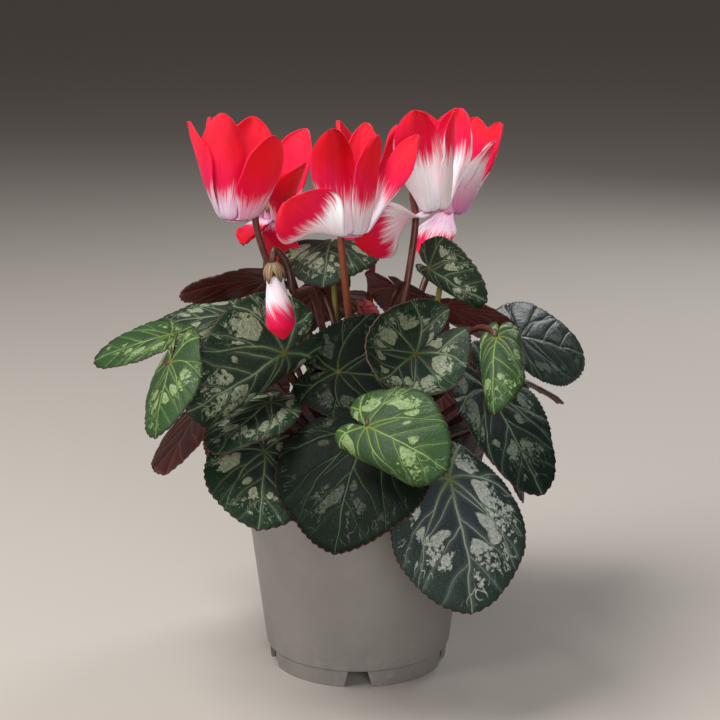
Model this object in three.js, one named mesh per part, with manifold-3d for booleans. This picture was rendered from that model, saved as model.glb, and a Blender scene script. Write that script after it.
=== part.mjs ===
// A potted cyclamen: a nursery pot with compost and a half-buried tuber, leaves on their petioles,
// blooms with turned-back petals on hooked stalks, and buds. Millimetres, +Z up, the pot's axis at
// X = Y = 0 and the foot ring standing on Z = 0. The side with the best blooms faces -Y.

import * as THREE from 'three';
import { mergeVertices } from 'three/addons/utils/BufferGeometryUtils.js';
import Module from 'manifold-3d';

const wasm = await Module();
wasm.setup();

// Driving dimensions

const CLEARANCE = 0.3;

const POT_SIDES = 32;
const POT_RIM_RADIUS = 52.5;
const POT_HEIGHT = 92;
const POT_RIM_BAND = 13;
const POT_RIM_STEP = 2.2;
const POT_WALL = 1.3;
const POT_BASE_RADIUS = 38.5;
const POT_SLOPE = 0.122;
const FOOT_HEIGHT = 7.3;
const FOOT_RADIUS = 37.6;
const FOOT_TAPER = 0.7;
const FOOT_WALL = 1.6;
const FLOOR_THICKNESS = 1.4;
const NOTCH_COUNT = 5;
const NOTCH_TOP_WIDTH = 7.8;
const NOTCH_FOOT_WIDTH = 12;
const NOTCH_DEPTH = 8;
const DRAIN_SIDES = 12;
const DRAIN_RADIUS = 4;
const DRAIN_RING = 25;

const COMPOST_TOP = 82;
const COMPOST_SIDES = 16;

const TUBER_RADIUS = 26;
const TUBER_SIDES = 16;
const TUBER_ROWS = 6;
const TUBER_TOP = 92;
const TUBER_BOTTOM = 68;

const PETIOLE_RADIUS = 1.25;
const PETIOLE_SIDES = 5;
const PETIOLE_STEPS = 5;
const PETIOLE_LAUNCH = 0.4;
const PETIOLE_BEHIND = 0.07;
const PETIOLE_BELOW = 0.28;
const ROOT_DEPTH = 3;
const STEM_CLEARANCE = 0.45;

const BLADE_THICKNESS = 0.7;
const BLADE_SEGMENTS = 24;
const MIDDLE_RING = 0.55;
const SLIT_HALF_ANGLE = 7;
const LOBE_ROUNDING = 16;
const LOBE_CUT = 0.65;
const LOBE_BULGE = 0.1;
const LOBE_ANGLE = 152;
const LOBE_SPREAD = 28;
const LOBE_CROWDING = 1.25;
const WIDEST = 0.36;
const BACK_REACH = 0.66;
const TIP_POINT = 0.03;
const TIP_POINT_ANGLE = 18;
const TIP_TAPER = 0.05;
const TIP_TAPER_ANGLE = 30;
const TIP_TAPER_SPREAD = 16;
const BROAD = 0.51;
const TOOTH_DEPTH = 0.022;
const CURL = 20;
const CUP = -12;
const RIPPLE = 0.04;
const RIPPLES = 3;

const STALK_RADIUS = 1.6;
const STALK_SIDES = 5;
const STALK_STEPS = 8;
const STALK_LAUNCH = 12;

const PETAL_LENGTH = 43;
const PETAL_WIDTH = 21;
const PETAL_CUP = 40;
const PETAL_THICKNESS = 0.8;
const PETAL_ACROSS = 2;
const PETAL_STATIONS = [0, 0.12, 0.34, 0.58, 0.8, 0.93, 1];
const MOUTH_RADIUS = 4.4;
const TUBE_TOP_RADIUS = 3.2;
const TUBE_HEIGHT = 7;
const TUBE_SIDES = 8;
const PETAL_ROOT_DIP = -25;
const PETAL_TURN = 5;
const PETAL_ROOT_INSET = 0.8;
const PETAL_ROOT_SHARE = 0.3;
const PETAL_WIDEST = 0.6;
const PETAL_SWELL = 1.4;
const PETAL_TIP_CUT = 0.94;
const PETAL_TIP_POINT = 2;

const SEPAL_COUNT = 5;
const CALYX_RADIUS = 3.8;
const CALYX_HEIGHT = 4.5;

// The stalk's hook beside and above a bloom, as distances out from its axis and up from its mouth
const HOOK_LINE = [[7.8, -3], [7.6, 8], [5.6, 14.6], [1.9, 15.9], [0, 10.6]];

const BUD_STALK_STEPS = 14;
const BUD_HOOK_LINE = [[6.8, -8], [6.2, 0], [4.4, 6], [1.6, 9], [0, 3.4]];
const BUD_LENGTH = 25;
const BUD_RADIUS = 5.4;
const BUD_TURNS = 0.45;
const BUD_NECK = 0.58;
const BUD_LOWER_SWELL = 1.8;
const BUD_FLUTE = 0.12;
const BUD_STATIONS = [0, 0.12, 0.3, 0.5, 0.7, 0.86, 0.95, 1];

// Colours and finishes

function finish(color, roughness) {
  return new THREE.MeshStandardMaterial({ color, roughness, metalness: 0 });
}

const potFinish = () => finish(0x6e6762, 0.55);
const compostFinish = () => finish(0x2b211b, 1);
const tuberFinish = () => finish(0x5d4634, 0.9);
const leafFinish = () => finish(0x24402c, 0.5);
const petalFinish = () => finish(0xe8203c, 0.6);
const stalkFinish = () => finish(0x5a2a22, 0.5);

// Solids from geometries

const radians = THREE.MathUtils.degToRad;

function solidOf(geometry) {
  const bare = geometry.clone();
  bare.deleteAttribute('normal');
  bare.deleteAttribute('uv');
  const merged = mergeVertices(bare, 1e-4);
  const points = merged.attributes.position.array;
  const triangles = Uint32Array.from(merged.index.array);
  let volume = 0;
  for (let i = 0; i < triangles.length; i += 3) {
    const [a, b, c] = [0, 1, 2].map((k) => new THREE.Vector3().fromArray(points, 3 * triangles[i + k]));
    volume += a.dot(b.cross(c));
  }
  if (volume < 0) {
    for (let i = 0; i < triangles.length; i += 3) {
      [triangles[i], triangles[i + 1]] = [triangles[i + 1], triangles[i]];
    }
  }
  return new wasm.Manifold(new wasm.Mesh({
    numProp: 3,
    vertProperties: Float32Array.from(points),
    triVerts: triangles,
  }));
}

function meshOf(name, solid, material) {
  const data = solid.getMesh();
  const geometry = new THREE.BufferGeometry();
  geometry.setAttribute('position', new THREE.BufferAttribute(Float32Array.from(data.vertProperties), 3));
  geometry.setIndex(Array.from(data.triVerts));
  geometry.computeVertexNormals();
  const mesh = new THREE.Mesh(geometry, material);
  mesh.name = name;
  return mesh;
}

function joined(solids) {
  return solids.reduce((sum, one) => sum.add(one));
}

// A closed tube of constant radius along a curve
function tube(curve, radius, sides, steps) {
  const section = new THREE.Shape();
  for (let i = 0; i < sides; i += 1) {
    const angle = (2 * Math.PI * i) / sides;
    const corner = [radius * Math.cos(angle), radius * Math.sin(angle)];
    if (i === 0) section.moveTo(...corner);
    else section.lineTo(...corner);
  }
  section.closePath();
  return new THREE.ExtrudeGeometry(section, { extrudePath: curve, steps, bevelEnabled: false });
}

// A closed sheet from a list of triangles over points, raised to both sides along the points' normals
function sheet(points, normals, triangles, rim, thickness) {
  const half = thickness / 2;
  const upper = points.map((p, i) => p.clone().addScaledVector(normals[i], half));
  const lower = points.map((p, i) => p.clone().addScaledVector(normals[i], -half));
  const count = points.length;
  const index = [];
  for (const [a, b, c] of triangles) index.push(a, b, c, count + a, count + c, count + b);
  rim.forEach((a, i) => {
    const b = rim[(i + 1) % rim.length];
    index.push(a, count + b, b, a, count + a, count + b);
  });
  const geometry = new THREE.BufferGeometry();
  geometry.setFromPoints([...upper, ...lower]);
  geometry.setIndex(index);
  return geometry;
}

// Leaves

// Blade axes: along the midrib, across to the left of it, and out of the upper face
function bladeAxes({ heading, droop, roll = 0 }) {
  const h = radians(heading);
  const d = radians(droop);
  const r = radians(roll);
  const along = new THREE.Vector3(Math.cos(h) * Math.cos(d), Math.sin(h) * Math.cos(d), -Math.sin(d));
  const level = new THREE.Vector3(Math.cos(h) * Math.sin(d), Math.sin(h) * Math.sin(d), Math.cos(d));
  const side = new THREE.Vector3().crossVectors(level, along);
  const across = side.clone().multiplyScalar(Math.cos(r)).addScaledVector(level, Math.sin(r));
  const up = level.clone().multiplyScalar(Math.cos(r)).addScaledVector(side, -Math.sin(r));
  return { along, across, up };
}

// Outline radius at an angle from the tip, for a blade of length 1: an oval that is widest in front of the
// petiole, a short point at the tip and two back lobes that close on the slit
function outlineRadius(angle, leaf) {
  const { broad = BROAD, widest = WIDEST, back = BACK_REACH } = leaf;
  const { lobes = LOBE_BULGE, slit = SLIT_HALF_ANGLE } = leaf;
  const turn = Math.abs(angle);
  const across = Math.sin(radians(turn)) / broad;
  const along = Math.cos(radians(turn));
  const polar = (reach) => {
    const a = across ** 2 + (along / reach) ** 2;
    const b = (-2 * along * widest) / reach ** 2;
    const c = (widest / reach) ** 2 - 1;
    return (-b + Math.sqrt(b * b - 4 * a * c)) / (2 * a);
  };
  const front = polar(1 - widest);
  const oval = front * along > widest ? front : polar(back);
  const bulge = lobes * Math.exp(-(((turn - LOBE_ANGLE) / LOBE_SPREAD) ** 2));
  const point = TIP_POINT * Math.max(0, 1 - turn / TIP_POINT_ANGLE) ** 2;
  const taper = TIP_TAPER * Math.exp(-(((turn - TIP_TAPER_ANGLE) / TIP_TAPER_SPREAD) ** 2));
  const lobeEnd = 180 - slit - LOBE_ROUNDING;
  const past = Math.max(0, turn - lobeEnd) / LOBE_ROUNDING;
  return (oval + bulge + point - taper) * Math.sqrt(1 - LOBE_CUT * past ** 2);
}

// A margin rolled down (or up, with a negative roll) on one side of the blade: the part past `from` of the
// half width is bent into an arc; gives the new distance across and the lift
function hemmed({ length, broad = BROAD, hem }, v) {
  if (!hem || v * hem.side < hem.from * broad * length) return [v, 0];
  const start = hem.from * broad * length;
  const bend = radians(hem.roll) / (broad * length - start);
  const beyond = v * hem.side - start;
  return [hem.side * (start + Math.sin(bend * beyond) / bend), (Math.cos(bend * beyond) - 1) / bend];
}

// Point of the blade's middle surface: u along the midrib and v across it, both in millimetres
function bladePoint(leaf, axes, u, v) {
  const { at, length, broad = BROAD, curl = CURL, cup = CUP, twist = 0 } = leaf;
  const reach = Math.hypot(u, v) / length;
  const ripple = RIPPLE * length * reach ** 2 * Math.sin(RIPPLES * Math.atan2(v, u));
  const [flatSide, hemLift] = hemmed(leaf, v);
  const lift = ripple + hemLift;
  const acrossTurn = radians(cup) / (broad * length);
  const alongTurn = radians(curl) / length;
  const bent = acrossTurn * flatSide;
  const twisted = (radians(twist) * -u) / length;
  const flatAcross = Math.sin(bent) / acrossTurn - lift * Math.sin(bent);
  const flatRise = (1 - Math.cos(bent)) / acrossTurn + lift * Math.cos(bent);
  const side = flatAcross * Math.cos(twisted) - flatRise * Math.sin(twisted);
  const rise = flatAcross * Math.sin(twisted) + flatRise * Math.cos(twisted);
  const forward = Math.sin(alongTurn * u) / alongTurn + rise * Math.sin(alongTurn * u);
  const height = rise * Math.cos(alongTurn * u) - (1 - Math.cos(alongTurn * u)) / alongTurn;
  return new THREE.Vector3(...at)
    .addScaledVector(axes.along, forward)
    .addScaledVector(axes.across, side)
    .addScaledVector(axes.up, height);
}

function bladeNormal(leaf, axes, u, v) {
  const step = 0.5;
  const along = bladePoint(leaf, axes, u + step, v).sub(bladePoint(leaf, axes, u - step, v));
  const across = bladePoint(leaf, axes, u, v + step).sub(bladePoint(leaf, axes, u, v - step));
  return along.cross(across).normalize();
}

// Angle from the tip for a share of the way round the blade, with closer steps on the back lobes
function fanAngle(share, slit) {
  const t = 2 * share - 1;
  return (180 - slit) * t * (LOBE_CROWDING - (LOBE_CROWDING - 1) * t * t);
}

function bladeSheet(leaf) {
  const axes = bladeAxes(leaf);
  const { length, slit = SLIT_HALF_ANGLE } = leaf;
  const half = BLADE_SEGMENTS / 2;
  const flat = [[0, 0]];
  for (let i = 0; i <= half; i += 1) {
    const angle = fanAngle(i / half, slit);
    const radius = MIDDLE_RING * length * outlineRadius(angle, leaf);
    flat.push([radius * Math.cos(radians(angle)), radius * Math.sin(radians(angle))]);
  }
  for (let i = 0; i <= BLADE_SEGMENTS; i += 1) {
    const angle = fanAngle(i / BLADE_SEGMENTS, slit);
    const tooth = i % 2 ? TOOTH_DEPTH : -TOOTH_DEPTH;
    const radius = length * outlineRadius(angle, leaf) * (1 + tooth);
    flat.push([radius * Math.cos(radians(angle)), radius * Math.sin(radians(angle))]);
  }
  const triangles = [];
  const outer = half + 2;
  for (let i = 0; i < half; i += 1) {
    const inner = 1 + i;
    const edge = outer + 2 * i;
    triangles.push([0, inner, inner + 1]);
    triangles.push([inner, edge, edge + 1]);
    triangles.push([inner, edge + 1, inner + 1]);
    triangles.push([inner + 1, edge + 1, edge + 2]);
  }
  const rim = [0, 1];
  for (let i = 0; i <= BLADE_SEGMENTS; i += 1) rim.push(outer + i);
  rim.push(half + 1);
  const points = flat.map(([u, v]) => bladePoint(leaf, axes, u, v));
  const normals = flat.map(([u, v]) => bladeNormal(leaf, axes, u, v));
  return sheet(points, normals, triangles, rim, BLADE_THICKNESS);
}

// Height of the tuber's upper side at a distance from its axis
function tuberHeight(radius) {
  const middle = (TUBER_TOP + TUBER_BOTTOM) / 2;
  const half = (TUBER_TOP - TUBER_BOTTOM) / 2;
  return middle + half * Math.sqrt(Math.max(0, 1 - (radius / TUBER_RADIUS) ** 2));
}

// Start of a stem on the tuber, sunk a little into it
function rootOf({ ring, bearing, lean = 0.5 }) {
  const b = radians(bearing);
  const out = new THREE.Vector3(Math.cos(b), Math.sin(b), 0);
  const direction = out.clone().multiplyScalar(lean).add(new THREE.Vector3(0, 0, 1)).normalize();
  const start = out.multiplyScalar(ring);
  start.z = tuberHeight(ring);
  start.addScaledVector(direction, -ROOT_DEPTH);
  return { start, direction };
}

function petioleCurve(leaf) {
  const axes = bladeAxes(leaf);
  const { start, direction } = rootOf(leaf.root);
  const end = new THREE.Vector3(...leaf.at);
  const span = start.distanceTo(end);
  const first = start.clone().addScaledVector(direction, PETIOLE_LAUNCH * span);
  const last = leaf.by ? new THREE.Vector3(...leaf.by) : end.clone()
    .addScaledVector(axes.along, -PETIOLE_BEHIND * span)
    .addScaledVector(axes.up, -PETIOLE_BELOW * span);
  return new THREE.CubicBezierCurve3(start, first, last, end);
}

function leafSolid(leaf) {
  const petiole = tube(petioleCurve(leaf), PETIOLE_RADIUS, PETIOLE_SIDES, PETIOLE_STEPS);
  return solidOf(bladeSheet(leaf)).add(solidOf(petiole));
}

// Blooms

// A bloom's own frame: origin at the mouth, local Z along its axis, away from the nose
function bloomFrame({ at, tilt = 0, toward = 0 }) {
  const upright = new THREE.Vector3(0, 0, 1);
  const axis = new THREE.Vector3(
    Math.sin(radians(tilt)) * Math.cos(radians(toward)),
    Math.sin(radians(tilt)) * Math.sin(radians(toward)),
    Math.cos(radians(tilt)),
  );
  const turn = new THREE.Quaternion().setFromUnitVectors(upright, axis);
  return new THREE.Matrix4().compose(new THREE.Vector3(...at), turn, new THREE.Vector3(1, 1, 1));
}

// Distance out and up after a length along an arc that turns from one elevation to another
function arcStep(from, to, length, part) {
  const turned = from + (to - from) * part;
  const bend = (to - from) / length;
  if (Math.abs(bend) < 1e-6) return [Math.cos(from) * length * part, Math.sin(from) * length * part];
  return [(Math.sin(turned) - Math.sin(from)) / bend, (Math.cos(from) - Math.cos(turned)) / bend];
}

// Middle line of a petal: from the mouth's rim a short way out and down, a tight turn up, then a long
// slow flare; s runs from 0 at the root to 1 at the tip
function petalSpine(petal, s) {
  const { azimuth, rise, flare, length = PETAL_LENGTH } = petal;
  const part = s * length;
  const turned = Math.min(1, part / PETAL_TURN);
  const [outA, upA] = arcStep(radians(PETAL_ROOT_DIP), radians(rise), PETAL_TURN, turned);
  const rest = length - PETAL_TURN;
  const beyond = Math.max(0, part - PETAL_TURN) / rest;
  const [outB, upB] = arcStep(radians(rise), radians(rise - flare), rest, beyond);
  const bearing = radians(azimuth);
  const out = MOUTH_RADIUS - PETAL_ROOT_INSET + outA + outB;
  return new THREE.Vector3(out * Math.cos(bearing), out * Math.sin(bearing), PETAL_ROOT_INSET + upA + upB);
}

// Half width of a petal at s, for a petal of full width 2
function petalProfile(s) {
  if (s < PETAL_WIDEST) {
    const swell = Math.sin((0.5 * Math.PI * Math.max(0, s)) / PETAL_WIDEST) ** PETAL_SWELL;
    return PETAL_ROOT_SHARE + (1 - PETAL_ROOT_SHARE) * swell;
  }
  const beyond = Math.min(1, (s - PETAL_WIDEST) / (1 - PETAL_WIDEST));
  return Math.sqrt(1 - PETAL_TIP_CUT * beyond ** 2);
}

// Point of a petal's middle surface, with across from -1 to 1
function petalPoint(petal, s, across) {
  const { azimuth, twist, cup = PETAL_CUP, width = PETAL_WIDTH } = petal;
  const step = 0.01;
  const middle = petalSpine(petal, s);
  const tangent = petalSpine(petal, s + step).sub(petalSpine(petal, s - step)).normalize();
  const level = new THREE.Vector3(-Math.sin(radians(azimuth)), Math.cos(radians(azimuth)), 0);
  const inward = new THREE.Vector3().crossVectors(level, tangent).normalize().negate();
  const side = new THREE.Vector3().crossVectors(inward, tangent).normalize().negate();
  const turn = radians(twist) * THREE.MathUtils.smoothstep(s, 0.02, 0.7);
  const turnedSide = side.clone().applyAxisAngle(tangent, turn);
  const turnedIn = inward.clone().applyAxisAngle(tangent, turn);
  const half = 0.5 * width * petalProfile(s);
  const bend = radians(cup);
  return middle
    .addScaledVector(turnedSide, (half * Math.sin(bend * across)) / bend)
    .addScaledVector(turnedIn, (half * (1 - Math.cos(bend * across))) / bend)
    .addScaledVector(tangent, -PETAL_TIP_POINT * Math.abs(across) ** 1.5 * s ** 4);
}

function petalSheet(petal) {
  const flat = [];
  for (const s of PETAL_STATIONS) {
    for (let j = 0; j <= PETAL_ACROSS; j += 1) flat.push([s, -1 + (2 * j) / PETAL_ACROSS]);
  }
  const row = PETAL_ACROSS + 1;
  const rows = PETAL_STATIONS.length;
  const triangles = [];
  for (let i = 0; i < rows - 1; i += 1) {
    for (let j = 0; j < PETAL_ACROSS; j += 1) {
      const a = i * row + j;
      triangles.push([a, a + row, a + row + 1], [a, a + row + 1, a + 1]);
    }
  }
  const rim = [];
  for (let i = 0; i < rows; i += 1) rim.push(i * row);
  for (let j = 1; j < row; j += 1) rim.push((rows - 1) * row + j);
  for (let i = rows - 2; i >= 0; i -= 1) rim.push(i * row + row - 1);
  for (let j = row - 2; j > 0; j -= 1) rim.push(j);
  const step = 0.02;
  const points = flat.map(([s, t]) => petalPoint(petal, s, t));
  const normals = flat.map(([s, t]) => {
    const along = petalPoint(petal, s + step, t).sub(petalPoint(petal, s - step, t));
    const across = petalPoint(petal, s, t + step).sub(petalPoint(petal, s, t - step));
    return along.cross(across).normalize();
  });
  return sheet(points, normals, triangles, rim, PETAL_THICKNESS);
}

function lathe(profile, sides) {
  const geometry = new THREE.LatheGeometry(profile.map(([r, z]) => new THREE.Vector2(r, z)), sides);
  return geometry.rotateX(Math.PI / 2);
}

// The short tube that the petals turn back from, open at the mouth below
function corollaTube() {
  return lathe([
    [0, 0.6 * TUBE_HEIGHT],
    [0.8 * TUBE_TOP_RADIUS, 0.5 * TUBE_HEIGHT],
    [MOUTH_RADIUS - PETAL_THICKNESS, 0],
    [MOUTH_RADIUS, 0],
    [0.86 * MOUTH_RADIUS, 0.4 * TUBE_HEIGHT],
    [TUBE_TOP_RADIUS, TUBE_HEIGHT],
    [0, TUBE_HEIGHT],
  ], TUBE_SIDES);
}

function corollaSolid(bloom) {
  const parts = [solidOf(corollaTube()), ...bloom.petals.map((petal) => solidOf(petalSheet(petal)))];
  return joined(parts).transform(bloomFrame(bloom).elements);
}

// Calyx: a small dome with five pointed sepals, above the tube and below the stalk's end
function calyxGeometry() {
  return lathe([
    [0, 0],
    [CALYX_RADIUS, 0],
    [0.9 * CALYX_RADIUS, 0.5 * CALYX_HEIGHT],
    [0, CALYX_HEIGHT],
  ], 2 * SEPAL_COUNT);
}

function stalkCurve(bloom, hook) {
  const frame = bloomFrame(bloom);
  const { start, direction } = rootOf(bloom.root);
  const bearing = radians(bloom.stalkSide);
  const local = hook.map(([out, up]) => new THREE.Vector3(
    out * Math.cos(bearing),
    out * Math.sin(bearing),
    up,
  ).applyMatrix4(frame));
  const first = start.clone().addScaledVector(direction, STALK_LAUNCH);
  const via = (bloom.via ?? []).map((point) => new THREE.Vector3(...point));
  return new THREE.CatmullRomCurve3([start, first, ...via, ...local], false, 'centripetal');
}

// A stalk with its calyx, which sits on top of the tube or bud
function stalkSolid(bloom, hook, steps, seatHeight) {
  const stalk = solidOf(tube(stalkCurve(bloom, hook), STALK_RADIUS, STALK_SIDES, steps));
  const calyx = solidOf(calyxGeometry());
  const seat = new THREE.Matrix4().makeTranslation(0, 0, seatHeight + CLEARANCE);
  return stalk.add(calyx.transform(bloomFrame(bloom).multiply(seat).elements));
}

// Buds: petals still rolled into a twisted spindle that hangs from the calyx

function budGeometry() {
  const profile = BUD_STATIONS.map((s) => {
    const swell = Math.sin(Math.PI * s ** BUD_LOWER_SWELL);
    return [s === 1 ? 0 : BUD_RADIUS * (BUD_NECK + (1 - BUD_NECK) * swell), -s * BUD_LENGTH];
  });
  const geometry = lathe([[0, 0], ...profile], 2 * SEPAL_COUNT);
  const position = geometry.attributes.position;
  for (let i = 0; i < position.count; i += 1) {
    const [x, y, z] = [position.getX(i), position.getY(i), position.getZ(i)];
    const side = Math.atan2(y, x);
    const angle = side + (2 * Math.PI * BUD_TURNS * -z) / BUD_LENGTH;
    const radius = Math.hypot(x, y) * (1 + BUD_FLUTE * Math.cos(SEPAL_COUNT * side));
    position.setXY(i, radius * Math.cos(angle), radius * Math.sin(angle));
  }
  return geometry;
}

// Pot

function potSolid() {
  const wallTop = POT_HEIGHT - POT_RIM_BAND;
  const baseOf = (z) => POT_BASE_RADIUS + POT_SLOPE * (z - FOOT_HEIGHT);
  const profile = [
    [0, FOOT_HEIGHT],
    [FOOT_RADIUS - FOOT_WALL, FOOT_HEIGHT],
    [FOOT_RADIUS - FOOT_TAPER - FOOT_WALL, 0],
    [FOOT_RADIUS - FOOT_TAPER, 0],
    [FOOT_RADIUS, FOOT_HEIGHT],
    [POT_BASE_RADIUS, FOOT_HEIGHT + 0.4],
    [baseOf(wallTop), wallTop],
    [baseOf(wallTop) + POT_RIM_STEP, wallTop],
    [POT_RIM_RADIUS, POT_HEIGHT],
    [POT_RIM_RADIUS - POT_WALL, POT_HEIGHT],
    [baseOf(wallTop) + POT_RIM_STEP - POT_WALL, wallTop + POT_WALL],
    [baseOf(wallTop) - POT_WALL, wallTop],
    [POT_BASE_RADIUS - POT_WALL, FOOT_HEIGHT + FLOOR_THICKNESS],
    [0, FOOT_HEIGHT + FLOOR_THICKNESS],
  ];
  let pot = solidOf(lathe(profile, POT_SIDES));
  const notch = new THREE.Shape();
  notch.moveTo(-NOTCH_FOOT_WIDTH / 2, -1);
  notch.lineTo(NOTCH_FOOT_WIDTH / 2, -1);
  notch.lineTo(NOTCH_TOP_WIDTH / 2, FOOT_HEIGHT);
  notch.lineTo(-NOTCH_TOP_WIDTH / 2, FOOT_HEIGHT);
  notch.closePath();
  for (let i = 0; i < NOTCH_COUNT; i += 1) {
    const turn = (2 * Math.PI * i) / NOTCH_COUNT;
    const cut = new THREE.ExtrudeGeometry(notch, { depth: NOTCH_DEPTH, bevelEnabled: false });
    cut.rotateX(Math.PI / 2).translate(0, NOTCH_DEPTH / 2 - FOOT_RADIUS, 0).rotateZ(turn);
    const through = 3 * FLOOR_THICKNESS;
    const drain = new THREE.CylinderGeometry(DRAIN_RADIUS, DRAIN_RADIUS, through, DRAIN_SIDES);
    drain.rotateX(Math.PI / 2).translate(0, -DRAIN_RING, FOOT_HEIGHT).rotateZ(turn);
    pot = pot.subtract(solidOf(cut)).subtract(solidOf(drain));
  }
  return pot;
}

// Compost and tuber: plain clearance round the tuber and round every stem

function compostGeometry() {
  const bottom = FOOT_HEIGHT + FLOOR_THICKNESS + CLEARANCE;
  const inner = (z) => POT_BASE_RADIUS + POT_SLOPE * (z - FOOT_HEIGHT) - POT_WALL - CLEARANCE;
  const wallTop = POT_HEIGHT - POT_RIM_BAND;
  return lathe([
    [0, bottom],
    [inner(bottom) - 0.4, bottom],
    [inner(wallTop) - 0.3, wallTop - 2],
    [inner(wallTop) - 1, COMPOST_TOP - 1],
    [0.6 * inner(wallTop), COMPOST_TOP],
    [0, COMPOST_TOP],
  ], COMPOST_SIDES);
}

function tuberGeometry(extra = 0) {
  const middle = (TUBER_TOP + TUBER_BOTTOM) / 2;
  const half = (TUBER_TOP - TUBER_BOTTOM) / 2;
  const profile = [];
  for (let i = 0; i <= TUBER_ROWS; i += 1) {
    const angle = -Math.PI / 2 + (Math.PI * i) / TUBER_ROWS;
    profile.push([
      i % TUBER_ROWS ? (TUBER_RADIUS + extra) * Math.cos(angle) : 0,
      middle + (half + extra) * Math.sin(angle),
    ]);
  }
  return lathe(profile, TUBER_SIDES);
}

// A stem's surroundings, cut away: the same tube a little thicker and starting a little deeper
function stemSpace(curve, root, radius, sides, steps) {
  const { direction } = rootOf(root);
  const wide = tube(curve, radius + STEM_CLEARANCE, sides, steps);
  return solidOf(wide.translate(...direction.multiplyScalar(-CLEARANCE)));
}

function stalkSpace(bloom, hook, steps) {
  return stemSpace(stalkCurve(bloom, hook), bloom.root, STALK_RADIUS, STALK_SIDES, steps);
}

// Leaves, from the photographed side round to the back: where the petiole meets the blade, the way the
// midrib points (heading, with -90 to the front), how far it droops, its roll and its length

function leaf(name, at, heading, droop, roll, length, [ring, bearing, lean], more = {}) {
  return { name, at, heading, droop, roll, length, root: { ring, bearing, lean }, ...more };
}

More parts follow.
